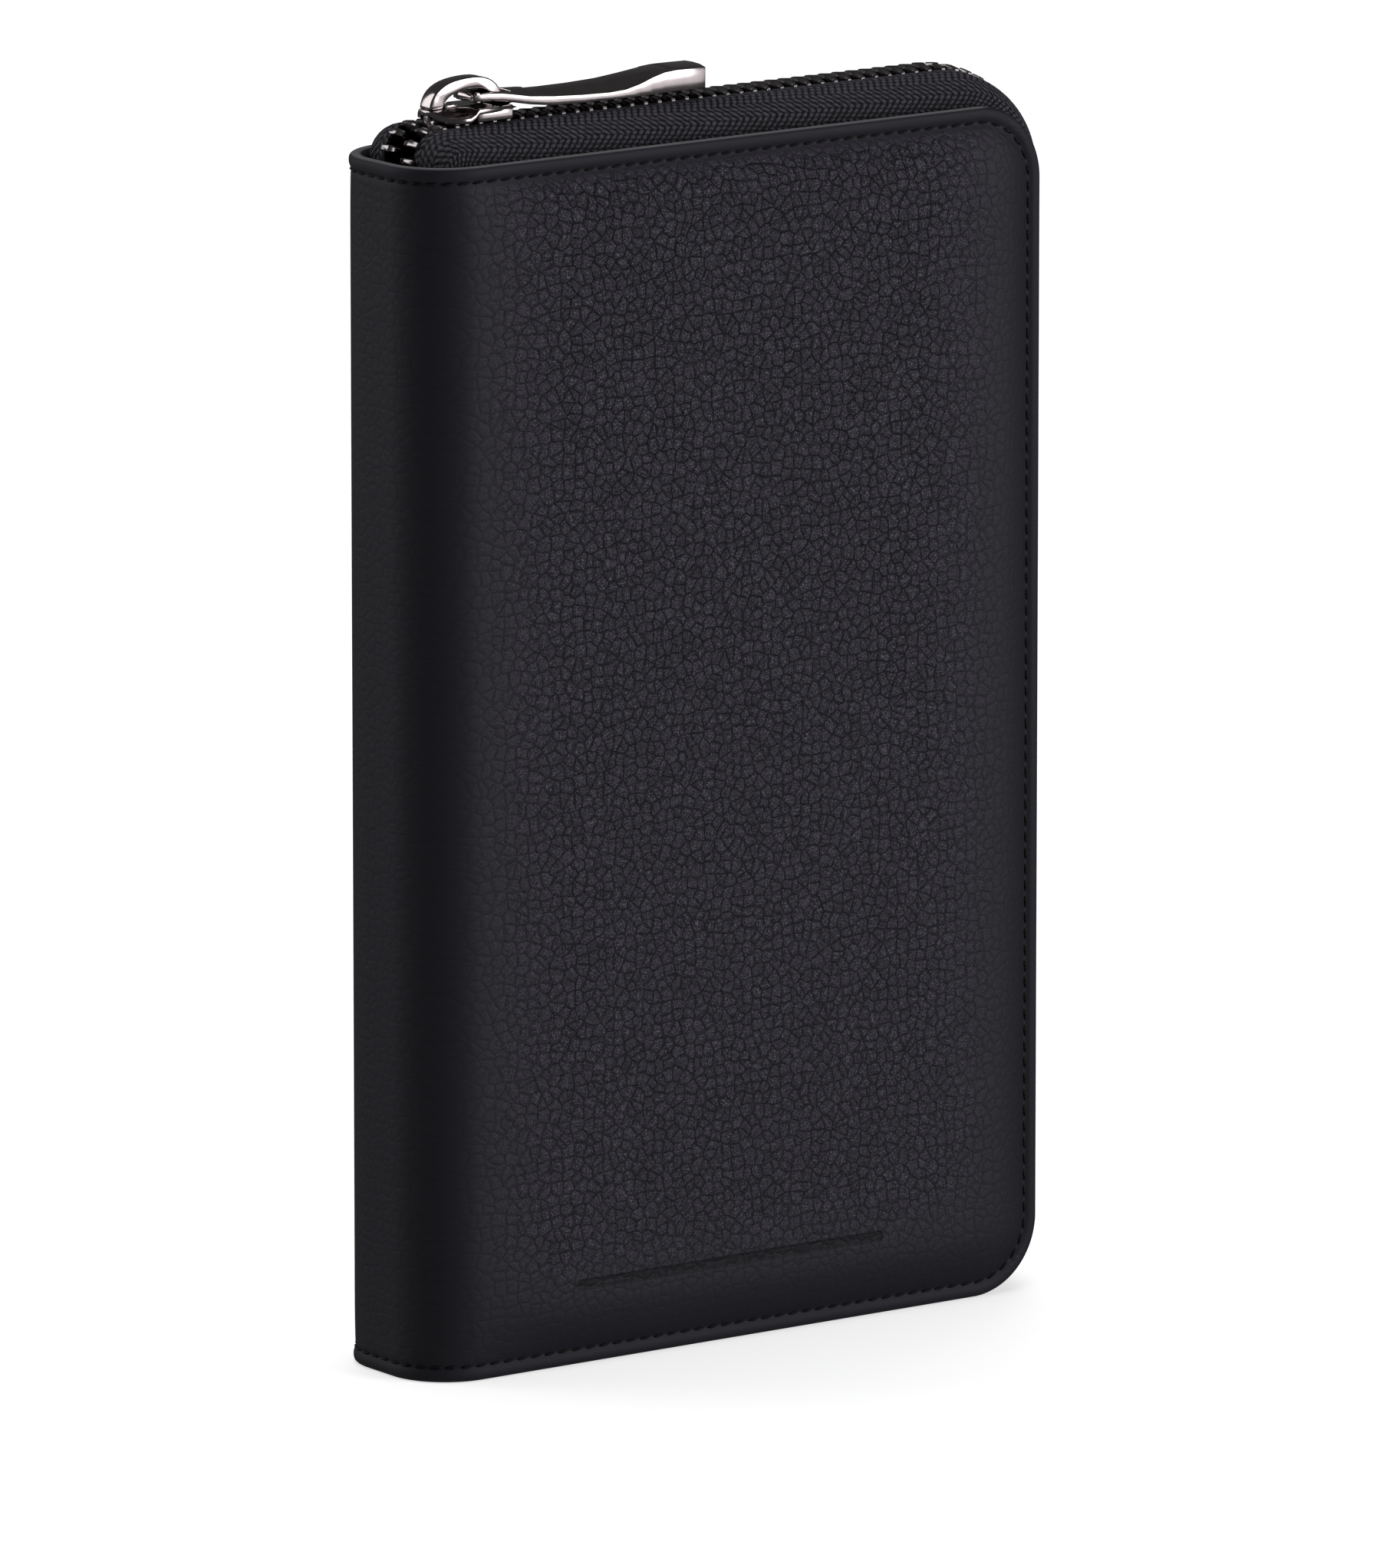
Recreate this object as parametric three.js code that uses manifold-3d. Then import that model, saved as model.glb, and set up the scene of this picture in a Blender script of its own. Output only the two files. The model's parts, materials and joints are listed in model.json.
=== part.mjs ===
// Zip-around travel document organizer, standing upright on the bottom edges of its two covers.
// Millimetres. X runs from the spine (-X) to the zip side (+X), Y from the front cover (-Y) to the
// rear cover (+Y), Z up. The origin is the middle of the bounding box's bottom face.
import * as THREE from "three";
import { mergeVertices } from "three/addons/utils/BufferGeometryUtils.js";
import Module from "manifold-3d";

const wasm = await Module();
wasm.setup();

// ---- Driving dimensions ----
const HEIGHT = 220; // cover height
const SPINE_X = -70.75; // outer face of the spine
const ZIP_SIDE_X = 65; // outer edge of the covers on the zip side
const HALF_DEPTH = 16; // from the middle plane to a cover's outer face, at its rim
const CROWN = 2.4; // how far the padded middle of a cover stands proud of its rim
const CORNER_R = 14; // cover corners on the zip side
const BEND_R = 12; // outer radius of the leather's two bends at the spine
const LEATHER_T = 1.4;
const FIT_GAP = 0.1; // between flat layers that are glued or sewn together
const SEAM_GAP = 0.6; // between the spine and a cover, room for the cover to swing

const SPINE_INNER_X = SPINE_X + 2.6; // the spine lining's inner face
const COVER_X = SPINE_X + BEND_R + SEAM_GAP; // where a cover begins, past the spine's bend
const BOARD_T = 1.3;
const FOAM_BACK_T = 1.2; // foam behind the leather at a cover's edge
const LINING_T = 0.6;
const RIM_T = 2.8; // depth of the rolled edge behind the leather
const RIM_W = 3;
const RIM_INNER_Y = HALF_DEPTH - LEATHER_T - FIT_GAP - RIM_T;
const LINING_Y = RIM_INNER_Y - FIT_GAP - LINING_T; // lining's face towards the pockets
const THREAD_PROUD = 0.25; // how far the spine's stitching stands out of the leather
const POCKET_T = 0.8;
const CARD_T = 0.4;
const CARD_PITCH_Y = CARD_T + 0.05;
const CARD_STEP_Z = 13;
const CARD_SLOTS = 6;

// Main zip: a chain of teeth on the middle plane, carried by two woven tapes.
const TEETH_HALF_T = 1.6;
const TEETH_W = 3.1; // one side's teeth, across the chain
const CHAIN_GAP = 0.15; // middle plane to each side's teeth
const CHAIN_OUT_TOP = 5.2; // how far the chain stands outside the covers' outline
const CHAIN_OUT_SIDE = 71 - ZIP_SIDE_X - TEETH_HALF_T;
const CHAIN_OUT_BOTTOM = -2.2; // pressed in between the covers where the organizer stands
const TAPE_T = 0.6;
const TAPE_SEWN_IN = 3.4; // how far inside the outline each tape is sewn
const TAPE_START_X = -57.6;
const LEG_X = -65; // where the chain's ends turn into the spine
const LEG_BEND_R = 5;
const MOUTH_X = -53; // where the chain starts to part, inside the slider
const MOUTH_SPREAD = 1.6; // how far each side of the chain parts at the slider's mouth

// Main slider, parked at the spine end of the top run.
const SLIDER_X = [-60, -43.5];
const CHAIN_Z = HEIGHT + CHAIN_OUT_TOP;
const WING_T = 1.1;
const WING_Z = CHAIN_Z + TEETH_HALF_T + 0.3;
const PIVOT = { x: -50.2, z: 229.7 };

// Zipped coin compartment, a leaf standing on the spine between the covers.
const LEAF = { x0: SPINE_INNER_X + 0.05, x1: 50, z0: 24, z1: 180, half: 2.5 };
const COIN_CHAIN_Z = LEAF.z1 + 5;
const PANEL_X = -60; // where the leaf's leather panels and zip begin, clear of the spine's bend
const COIN_SLIDER_X = [-54, -44];
const COIN_PIVOT = { x: -48.6, z: 188.7 };

const MATERIALS = {
  leather: new THREE.MeshStandardMaterial({ color: 0x1d1c21, roughness: 0.55 }),
  rim: new THREE.MeshStandardMaterial({ color: 0x1b1d22, roughness: 0.4 }),
  foam: new THREE.MeshStandardMaterial({ color: 0x55555a, roughness: 0.95 }),
  board: new THREE.MeshStandardMaterial({ color: 0x6a5a48, roughness: 0.9 }),
  lining: new THREE.MeshStandardMaterial({ color: 0x202024, roughness: 0.85 }),
  pocket: new THREE.MeshStandardMaterial({ color: 0x1c1b1f, roughness: 0.6 }),
  thread: new THREE.MeshStandardMaterial({ color: 0x141417, roughness: 0.6 }),
  tape: new THREE.MeshStandardMaterial({ color: 0x17171a, roughness: 0.9 }),
  elastic: new THREE.MeshStandardMaterial({ color: 0x161618, roughness: 0.9 }),
  metal: new THREE.MeshStandardMaterial({ color: 0x6b6468, roughness: 0.22, metalness: 1 }),
};

// ---- Geometry helpers ----

// Turns a list of triangles (index triples) over points into a closed geometry that faces outwards.
function closedGeometry(points, triangles) {
  let volume = 0;
  for (const [a, b, c] of triangles)
    volume += points[a].dot(new THREE.Vector3().crossVectors(points[b], points[c]));
  const faces = volume < 0 ? triangles.map(([a, b, c]) => [a, c, b]) : triangles;
  const geometry = new THREE.BufferGeometry().setFromPoints(points);
  geometry.setIndex(faces.flat());
  return geometry.toNonIndexed();
}

// Joins closed loops of equally many points, one after another, and caps the first and the last.
function loft(loops, cap) {
  const n = loops[0].length;
  const points = loops.flat();
  const triangles = [];
  for (let k = 0; k < loops.length - 1; k++)
    for (let i = 0; i < n; i++) {
      const a = k * n + i;
      const b = k * n + ((i + 1) % n);
      triangles.push([a, b, b + n], [a, b + n, a + n]);
    }
  const last = (loops.length - 1) * n;
  for (const [a, b, c] of cap(n)) triangles.push([a, c, b], [last + a, last + b, last + c]);
  return closedGeometry(points, triangles);
}

// Cap of a convex loop.
const fanCap = (n) => Array.from({ length: n - 2 }, (_, i) => [0, i + 1, i + 2]);

// Cap of a ribbon's section, whose first half is one side and whose second half comes back.
function ribbonCap(n) {
  const triangles = [];
  for (let i = 0; i < n / 2 - 1; i++)
    triangles.push([i, i + 1, n - 2 - i], [i, n - 2 - i, n - 1 - i]);
  return triangles;
}

// A flat piece: a shape drawn in X and Z, from one Y to another.
function plate(shape, yA, yB, curveSegments = 6) {
  const depth = Math.abs(yA - yB);
  const geometry = new THREE.ExtrudeGeometry(shape, { depth, bevelEnabled: false, curveSegments });
  return geometry.rotateX(Math.PI / 2).translate(0, Math.max(yA, yB), 0);
}

// A piece with an upright axis: a shape drawn in X and Y, from one Z to another.
function slab(shape, z0, z1, curveSegments = 6) {
  const settings = { depth: z1 - z0, bevelEnabled: false, curveSegments };
  return new THREE.ExtrudeGeometry(shape, settings).translate(0, 0, z0);
}

function box(x, y, z) {
  const size = [x, y, z].map(([low, high]) => high - low);
  const middle = [x, y, z].map(([low, high]) => (low + high) / 2);
  return new THREE.BoxGeometry(...size).translate(...middle);
}

function rectangle(x0, x1, z0, z1) {
  return polygon([[x0, z0], [x1, z0], [x1, z1], [x0, z1]]);
}

function polygon(points) {
  return new THREE.Shape(points.map(([x, z]) => new THREE.Vector2(x, z)));
}

// A cover's outline, drawn in by inset: square at the spine, round at the zip side.
function coverOutline(inset, spineInset = inset) {
  const [x0, x1] = [COVER_X + spineInset, ZIP_SIDE_X - inset];
  const [z0, z1] = [inset, HEIGHT - inset];
  const r = Math.max(CORNER_R - inset, 2);
  const corner = (z, fromDegrees) =>
    Array.from({ length: 6 }, (_, i) => {
      const angle = THREE.MathUtils.degToRad(fromDegrees + i * 18);
      return [x1 - r + r * Math.cos(angle), z + r * Math.sin(angle)];
    });
  return [[x0, z0], ...corner(z0 + r, -90), ...corner(z1 - r, 0), [x0, z1]];
}

// A band that follows a cover's outline round its three sewn sides.
function coverBand(insetFar, insetNear) {
  return polygon([...coverOutline(insetNear, 0), ...coverOutline(insetFar, 0).reverse()]);
}

// ---- Booleans ----

function solidOf(geometry) {
  const bare = geometry.clone();
  bare.deleteAttribute("normal");
  bare.deleteAttribute("uv");
  const merged = mergeVertices(bare, 1e-4);
  return new wasm.Manifold(
    new wasm.Mesh({
      numProp: 3,
      vertProperties: new Float32Array(merged.attributes.position.array),
      triVerts: new Uint32Array(merged.index.array),
    }),
  );
}

function geometryOf(solid) {
  const mesh = solid.getMesh();
  const geometry = new THREE.BufferGeometry();
  geometry.setAttribute("position", new THREE.BufferAttribute(mesh.vertProperties, 3));
  geometry.setIndex(new THREE.BufferAttribute(mesh.triVerts, 1));
  return geometry.toNonIndexed();
}

const join = (...pieces) => geometryOf(pieces.map(solidOf).reduce((a, b) => a.add(b)));
const cut = (piece, ...tools) =>
  geometryOf(tools.map(solidOf).reduce((a, b) => a.subtract(b), solidOf(piece)));

// ---- The main zip's path ----

const smooth = (t) => t * t * (3 - 2 * t);
const clamp01 = (t) => Math.min(1, Math.max(0, t));

// Stations along the covers' outline, each a point on it, the way out, and how far out the chain is.
function outlineStations() {
  const stations = [];
  const add = (x, z, angle, out) => {
    const outward = new THREE.Vector2(Math.cos(angle), Math.sin(angle));
    stations.push({ base: new THREE.Vector2(x, z), outward, out });
  };
  const corner = (z, from, outFrom, outTo) => {
    const steps = 7;
    for (let i = 0; i <= steps; i++) {
      const angle = from - (i / steps) * (Math.PI / 2);
      const out = THREE.MathUtils.lerp(outFrom, outTo, i / steps);
      const x = ZIP_SIDE_X - CORNER_R + CORNER_R * Math.cos(angle);
      add(x, z + CORNER_R * Math.sin(angle), angle, out);
    }
  };
  const up = Math.PI / 2;
  for (const x of [TAPE_START_X, -56, -54.5, MOUTH_X]) add(x, HEIGHT, up, CHAIN_OUT_TOP);
  corner(HEIGHT - CORNER_R, up, CHAIN_OUT_TOP, CHAIN_OUT_SIDE);
  corner(CORNER_R, 0, CHAIN_OUT_SIDE, CHAIN_OUT_BOTTOM);
  for (const x of [MOUTH_X, -56, TAPE_START_X]) add(x, 0, -up, CHAIN_OUT_BOTTOM);
  return stations;
}

// The whole chain as stations: where it is, where its tape is sewn, the way out, and its parting.
function chainStations() {
  const along = outlineStations().map(({ base, outward, out }) => ({
    chain: base.clone().addScaledVector(outward, out),
    sewn: base.clone().addScaledVector(outward, -TAPE_SEWN_IN),
    outward,
  }));
  const leg = (z, endZ, sewnZ) => {
    const sign = Math.sign(z - endZ);
    const sewn = new THREE.Vector2(TAPE_START_X, sewnZ);
    const bend = [90, 60, 30, 0].map((degrees) => {
      const angle = THREE.MathUtils.degToRad(degrees);
      const outward = new THREE.Vector2(-Math.cos(angle), sign * Math.sin(angle));
      const centre = new THREE.Vector2(LEG_X + LEG_BEND_R, z - sign * LEG_BEND_R);
      return { chain: centre.addScaledVector(outward, LEG_BEND_R), sewn, outward };
    });
    const outward = new THREE.Vector2(-1, 0);
    return [...bend, { chain: new THREE.Vector2(LEG_X, endZ), sewn, outward }];
  };
  const top = leg(CHAIN_Z, 206, HEIGHT - TAPE_SEWN_IN).reverse();
  const bottom = leg(-CHAIN_OUT_BOTTOM, 20, TAPE_SEWN_IN);
  return [...top, ...along, ...bottom].map((station) => ({
    ...station,
    parting: MOUTH_SPREAD * smooth(clamp01((MOUTH_X - station.chain.x) / 4)),
  }));
}

const at = (point, y) => new THREE.Vector3(point.x, y, point.y);

// One side's teeth as a plain strip along the chain.
function teethStrip(side) {
  const loops = chainStations().map(({ chain, outward, parting }) => {
    const near = side * (CHAIN_GAP + parting);
    const far = near + side * TEETH_W;
    const outer = chain.clone().addScaledVector(outward, TEETH_HALF_T);
    const inner = chain.clone().addScaledVector(outward, -TEETH_HALF_T);
    return [at(outer, near), at(outer, far), at(inner, far), at(inner, near)];
  });
  return loft(loops, ribbonCap);
}

// One side's woven tape: level beside the teeth, then curving down to where it is sewn in.
function zipTape(side) {
  const sewnY = LINING_Y - 0.45;
  const profile = [
    { share: 1, y: CHAIN_GAP + TEETH_W + 0.25 },
    { share: 0.965, y: 6.3 },
    { share: 0.78, y: 8.6 },
    { share: 0.45, y: 10.1 },
    { share: 0, y: sewnY },
  ];
  const loops = chainStations().map(({ chain, sewn, parting }) => {
    const centre = profile.map(({ share, y }, i) => {
      const point = sewn.clone().lerp(chain, share);
      return at(point, side * (i ? y : y + parting));
    });
    const across = (i) => {
      const along = centre[Math.min(i + 1, 4)].clone().sub(centre[Math.max(i - 1, 0)]);
      const out = at(chain.clone().sub(sewn).normalize(), 0);
      const normal = out.addScaledVector(along, -out.dot(along) / along.lengthSq());
      return i === 4 ? new THREE.Vector3(0, side, 0) : normal.normalize();
    };
    const shifted = (amount) => centre.map((p, i) => p.clone().addScaledVector(across(i), amount));
    return [...shifted(TAPE_T / 2), ...shifted(-TAPE_T / 2).reverse()];
  });
  return loft(loops, ribbonCap);
}

// ---- Covers ----

const outlineLoop = (inset, y) =>
  coverOutline(inset).map(([x, z]) => new THREE.Vector3(x, y, z));

// Outer leather: a shallow dish, crowned over the padding, with its rim left thin.
function coverLeather(side) {
  const outer = [[0, 0], [6, 0.65 * CROWN], [15, CROWN]];
  const inner = [[15, CROWN], [6.6, 0.65 * CROWN], [2, 0]];
  const loops = [
    ...inner.map(([inset, rise]) => outlineLoop(inset, side * (HALF_DEPTH - LEATHER_T + rise))),
    outlineLoop(0, side * (HALF_DEPTH - LEATHER_T)),
    ...outer.map(([inset, rise]) => outlineLoop(inset, side * (HALF_DEPTH + rise))),
  ];
  return loft(loops, fanCap);
}

function coverFoam(side) {
  const back = HALF_DEPTH - LEATHER_T - FIT_GAP - FOAM_BACK_T;
  const face = HALF_DEPTH - LEATHER_T - 0.4;
  const rows = [[RIM_W + 0.4, back], [RIM_W + 0.4, face], [8, face + 1.2], [16, face + 2]];
  return loft(rows.map(([inset, y]) => outlineLoop(inset, side * y)), fanCap);
}

// Rolled edge between the leather and the lining, round the three sewn sides.
function coverRim(side) {
  const face = HALF_DEPTH - LEATHER_T - FIT_GAP;
  return plate(coverBand(RIM_W, 0), side * face, side * RIM_INNER_Y);
}

// Lockstitch thread round a cover, lying just proud of the leather.
function coverThread(side) {
  const face = HALF_DEPTH + 0.65 * CROWN * (3.1 / 6) + 0.1;
  return plate(coverBand(3.1, 2.5), side * (face - 0.5), side * face);
}

const meshes = {};
function add(body, name, geometry, material) {
  const mesh = new THREE.Mesh(geometry, MATERIALS[material]);
  mesh.name = name;
  (meshes[body] ??= []).push(mesh);
}

function buildCover(name, side) {
  const body = `${name}_cover`;
  const leather = coverLeather(side);
  add(body, `${name}_cover_leather`, leather, "leather");
  add(body, `${name}_cover_stitching`, cut(coverThread(side), leather), "thread");
  add(body, `${name}_cover_padding`, coverFoam(side), "foam");
  const boardFace = HALF_DEPTH - LEATHER_T - 2 * FIT_GAP - FOAM_BACK_T;
  const board = polygon(coverOutline(RIM_W + 0.3));
  add(body, `${name}_cover_board`, plate(board, side * boardFace, side * (boardFace - BOARD_T)), "board");
  add(body, `${name}_cover_rim`, coverRim(side), "rim");
  const lining = plate(polygon(coverOutline(0.6)), side * LINING_Y, side * (LINING_Y + LINING_T));
  add(body, `${name}_cover_lining`, lining, "lining");
  add(body, `${name}_zip_tape`, zipTape(side), "tape");
  add(body, `${name}_zip_teeth`, teethStrip(side), "metal");
}

// Front cover: a tall slip pocket for documents, and a passport pocket on it.
function buildFrontPockets() {
  const slip = { x: [-52, 56], z: [5, 172] };
  const passport = { x: [-50, 54], z: [6.5, 128] };
  const slipY = LINING_Y - FIT_GAP;
  const passportY = slipY - POCKET_T - 0.2;
  add("front_cover", "front_document_pocket",
    plate(rectangle(...slip.x, ...slip.z), -slipY, -(slipY - POCKET_T)), "pocket");
  add("front_cover", "front_passport_pocket",
    plate(rectangle(...passport.x, ...passport.z), -passportY, -(passportY - POCKET_T)), "pocket");
}

// Rear cover: a slip pocket behind six card slots that step down by one strip each.
function buildRearPockets() {
  const backY = LINING_Y - FIT_GAP;
  add("rear_cover", "rear_slip_pocket",
    plate(rectangle(-52, 56, 5, 196), backY, backY - POCKET_T), "pocket");
  for (let k = 0; k < CARD_SLOTS; k++) {
    const face = backY - POCKET_T - 0.05 - k * CARD_PITCH_Y;
    const top = 174 - k * CARD_STEP_Z;
    const shape = rectangle(-46, 50, 7, top);
    add("rear_cover", `card_slot_${k + 1}`, plate(shape, face, face - CARD_T), "pocket");
  }
}

// ---- Spine ----

// A U seen from above, open towards the zip side: offset is the depth under the leather's face.
function spineProfile(offset, thickness, endX = SPINE_X + BEND_R) {
  const r = BEND_R - offset;
  const centreX = SPINE_X + BEND_R;
  const centreY = HALF_DEPTH - BEND_R;
  const shape = new THREE.Shape().moveTo(endX, -centreY - r);
  shape.absarc(centreX, -centreY, r, -Math.PI / 2, -Math.PI, true);
  shape.absarc(centreX, centreY, r, Math.PI, Math.PI / 2, true);
  shape.lineTo(endX, centreY + r).lineTo(endX, centreY + r - thickness);
  shape.absarc(centreX, centreY, r - thickness, Math.PI / 2, Math.PI, false);
  shape.absarc(centreX, -centreY, r - thickness, Math.PI, 1.5 * Math.PI, false);
  return shape.lineTo(endX, -centreY - r + thickness);
}

function buildSpine() {
  add("spine", "spine_leather", slab(spineProfile(0, LEATHER_T), 0, HEIGHT, 5), "leather");
  add("spine", "spine_lining", slab(spineProfile(LEATHER_T + 0.6, LINING_T), 0.6, HEIGHT - 0.6, 5), "lining");
  add("spine", "spine_stiffener",
    box([SPINE_X + LEATHER_T + 0.05, SPINE_X + LEATHER_T + 0.55], [-3.8, 3.8], [4, HEIGHT - 4]), "board");
  const thread = spineProfile(-THREAD_PROUD, THREAD_PROUD - 0.03);
  for (const [name, z] of [["spine_head_stitching", HEIGHT - 3.1], ["spine_tail_stitching", 2.5]])
    add("spine", name, slab(thread, z, z + 0.6, 5), "thread");
}

// Elastic pen loop, sewn to the spine's lining in the front half of the organizer.
function buildPenLoop() {
  const [x, y, outer, inner] = [-62.4, -6.6, 4, 3.5];
  const [z0, z1] = [80, 104];
  const ring = new THREE.Shape().absarc(x, y, outer, 0, 2 * Math.PI);
  ring.holes.push(new THREE.Path().absarc(x, y, inner, 0, 2 * Math.PI, true));
  const tab = box([-67.45, -65.9], [y - 0.3, y + 0.3], [z0, z1]);
  add("spine", "pen_loop", join(slab(ring, z0, z1, 10), tab), "elastic");
}

// Coin compartment: two leather panels on a gusset that stands on the spine, zipped along the top.
function buildCoinCompartment() {
  const { x0, x1, z0, z1, half } = LEAF;
  const panel = rectangle(PANEL_X, x1, z0, z1);
  const gussetHalf = half - POCKET_T - FIT_GAP;
  const gusset = polygon([[x0, z0], [x1, z0], [x1, z1], [x1 - 4, z1], [x1 - 4, z0 + 4],
    [PANEL_X - 1, z0 + 4], [PANEL_X - 1, z1], [x0, z1]]);
  add("spine", "coin_pocket_gusset", plate(gusset, -gussetHalf, gussetHalf), "lining");
  const tape = [z1 + 0.2, COIN_CHAIN_Z + 0.4];
  for (const [name, side] of [["front", -1], ["rear", 1]]) {
    add("spine", `coin_pocket_${name}_panel`, plate(panel, side * half, side * (half - POCKET_T)), "pocket");
    const sideways = [side * 1.95, side * half].sort((a, b) => a - b);
    add("spine", `coin_zip_${name}_tape`, box([PANEL_X, x1], sideways, tape), "tape");
    const across = [side * 0.1, side * 1.8].sort((a, b) => a - b);
    const strip = box([PANEL_X + 2, x1 - 2], across, [COIN_CHAIN_Z - 0.9, COIN_CHAIN_Z + 0.9]);
    const mouth = box([-56, -51.4], [-0.9, 0.9], [COIN_CHAIN_Z - 2, COIN_CHAIN_Z + 2]);
    add("spine", `coin_zip_${name}_teeth`, cut(strip, mouth), "metal");
  }
}

// ---- Sliders and pullers ----

function buildMainSlider() {
  const [x0, x1] = SLIDER_X;
  const half = [[x0, 2.2], [x0 + 0.6, 4], [x0 + 2.4, 5.3], [x0 + 5.5, 5.6], [x0 + 9, 5.2], [x1 - 1, 5], [x1, 4.2]];
  const mirrored = half.map(([x, y]) => [x, -y]).reverse();
  const wing = polygon([...mirrored, ...half]);
  const flangeX = [x0 + 8.5, x1 - 0.6];
  const lowerTop = CHAIN_Z - TEETH_HALF_T - 0.3;
  const flanges = [-1, 1].flatMap((side) => {
    const across = [side * 4.3, side * 5].sort((a, b) => a - b);
    return [
      box(flangeX, across, [CHAIN_Z + 0.7, WING_Z + 0.2]),
      box(flangeX, across, [lowerTop - 0.2, CHAIN_Z - 0.7]),
    ];
  });
  const post = box([x0 + 0.5, x0 + 3.5], [-0.9, 0.9], [lowerTop - 0.2, WING_Z + 0.2]);
  const wings = [slab(wing, WING_Z, WING_Z + WING_T), slab(wing, lowerTop - WING_T, lowerTop)];
  add("main_slider", "slider_body", join(...wings, post, ...flanges), "metal");

  // Arched bridge on the upper wing, with the eye that the puller's pin runs in.
  const foot = WING_Z + WING_T + 0.05;
  const bridge = new THREE.Shape().moveTo(-59.7, foot);
  bridge.bezierCurveTo(-59.2, 231.6, -56, 233.3, -50.2, 233.4);
  bridge.bezierCurveTo(-46.2, 233.4, -44, 231.6, -43.9, foot);
  bridge.lineTo(-46, foot);
  bridge.bezierCurveTo(-46.2, 230.8, -47.6, 231.5, -50.2, 231.6);
  bridge.bezierCurveTo(-53.6, 231.6, -56.4, 230.8, -56.9, foot);
  add("main_slider", "slider_bridge", plate(bridge, -1.7, 1.7, 6), "metal");
  const spring = box([-56.2, -53.4], [-1.2, 1.2], [foot, foot + 0.4]);
  add("main_slider", "slider_lock_spring", spring, "metal");
}

// Puller: a bar that thickens into a block at its free end, with a shallow dished top, forked round
// the bridge, and a pin across the fork.
function buildMainPuller() {
  const side = new THREE.Shape().moveTo(PIVOT.x - 1.1, PIVOT.z - 0.6);
  side.bezierCurveTo(-48, 229, -45, 228.6, -42.8, 228.4);
  side.bezierCurveTo(-40.5, 228.1, -37.5, 227.3, -34, 227.1).lineTo(-1.4, 227);
  side.lineTo(-1.2, 231.2).lineTo(-8, 231.3);
  side.bezierCurveTo(-12.5, 231.3, -14.5, 229.5, -20, 229.3);
  side.lineTo(-34, 229.5).lineTo(PIVOT.x - 1.1, PIVOT.z + 0.8);
  const bar = plate(side, -4, 4, 8);
  const slot = box([PIVOT.x - 3, -42.6], [-2.1, 2.1], [225, 235]);
  const taperCut = (sign) => {
    const wedge = polygon([[-54, sign * 3.3], [-36, sign * 3.5], [-24, sign * 4.01], [-24, sign * 6], [-54, sign * 6]]);
    return slab(wedge, 225, 235);
  };
  const dish = polygon([[-38, 228.9], [-20, 228.5], [-13, 229.6], [-9.5, 231], [-9.5, 235], [-38, 235]]);
  const shaped = cut(bar, slot, taperCut(1), taperCut(-1), plate(dish, -2.9, 2.9));
  const pin = new THREE.CylinderGeometry(0.9, 0.9, 6.4, 12).translate(PIVOT.x, 0, PIVOT.z);
  add("main_puller", "zip_puller", join(shaped, pin), "metal");
}

function buildCoinSlider() {
  const [x0, x1] = COIN_SLIDER_X;
  const upper = COIN_CHAIN_Z + 1.2;
  const wing = box([x0, x1], [-3.2, 3.2], [upper, upper + 0.8]);
  const lower = box([x0, x1], [-1.6, 1.6], [COIN_CHAIN_Z - 2, COIN_CHAIN_Z - 1.2]);
  const post = box([x0 + 0.4, x0 + 2.2], [-0.6, 0.6], [COIN_CHAIN_Z - 1.4, upper + 0.2]);
  const lips = [-1, 1].map((side) => {
    const across = [side * 2.7, side * 3.2].sort((a, b) => a - b);
    return box([x0 + 4, x1], across, [COIN_CHAIN_Z - 0.4, upper + 0.2]);
  });
  add("coin_slider", "coin_slider_body", join(wing, lower, post, ...lips), "metal");

  const foot = upper + 0.85;
  const bridge = new THREE.Shape().moveTo(x0 + 0.6, foot);
  bridge.bezierCurveTo(x0 + 1, foot + 4.6, x1 - 1, foot + 5.4, x1 - 0.6, foot).lineTo(x1 - 2, foot);
  bridge.bezierCurveTo(x1 - 2.4, foot + 3.9, x0 + 3, foot + 3.3, x0 + 2, foot);
  add("coin_slider", "coin_slider_bridge", plate(bridge, -0.8, 0.8, 6), "metal");
}

function buildCoinPuller() {
  const { x, z } = COIN_PIVOT;
  // The fork's arms drop from the pin to a flat tab that lies along the chain.
  const side = polygon([[x - 0.9, z - 0.7], [x + 4, z - 1.1], [x + 20, z - 1.1], [x + 20, z + 0.1],
    [x + 4, z + 0.3], [x - 0.9, z + 0.7]]);
  const bar = plate(side, -2.4, 2.4);
  const slot = box([x - 2, x + 5.6], [-1.2, 1.2], [z - 3, z + 3]);
  const eye = new THREE.CylinderGeometry(1.2, 1.2, 6, 12).rotateX(Math.PI / 2).translate(x + 16.6, 0, z);
  const pin = new THREE.CylinderGeometry(0.6, 0.6, 4.6, 10).translate(x, 0, z);
  add("coin_puller", "coin_zip_puller", join(cut(bar, slot, eye), pin), "metal");
}

// ---- Assembly ----

buildSpine();
buildPenLoop();
buildCoinCompartment();
buildCover("front", -1);
buildFrontPockets();
buildCover("rear", 1);
buildRearPockets();
buildMainSlider();
buildMainPuller();
buildCoinSlider();
buildCoinPuller();

const organizer = new THREE.Group();
for (const [body, pieces] of Object.entries(meshes)) {
  const group = new THREE.Group();
  group.name = body;
  group.add(...pieces);
  organizer.add(group);
}

export default organizer;
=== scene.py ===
"""Black leather travel document organizer: its looks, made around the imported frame."""

import json
import math
from contextlib import contextmanager

import bmesh
import bpy
import numpy as np
from bpy.props import FloatProperty, FloatVectorProperty, PointerProperty
from mathutils import Matrix, Vector

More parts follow.
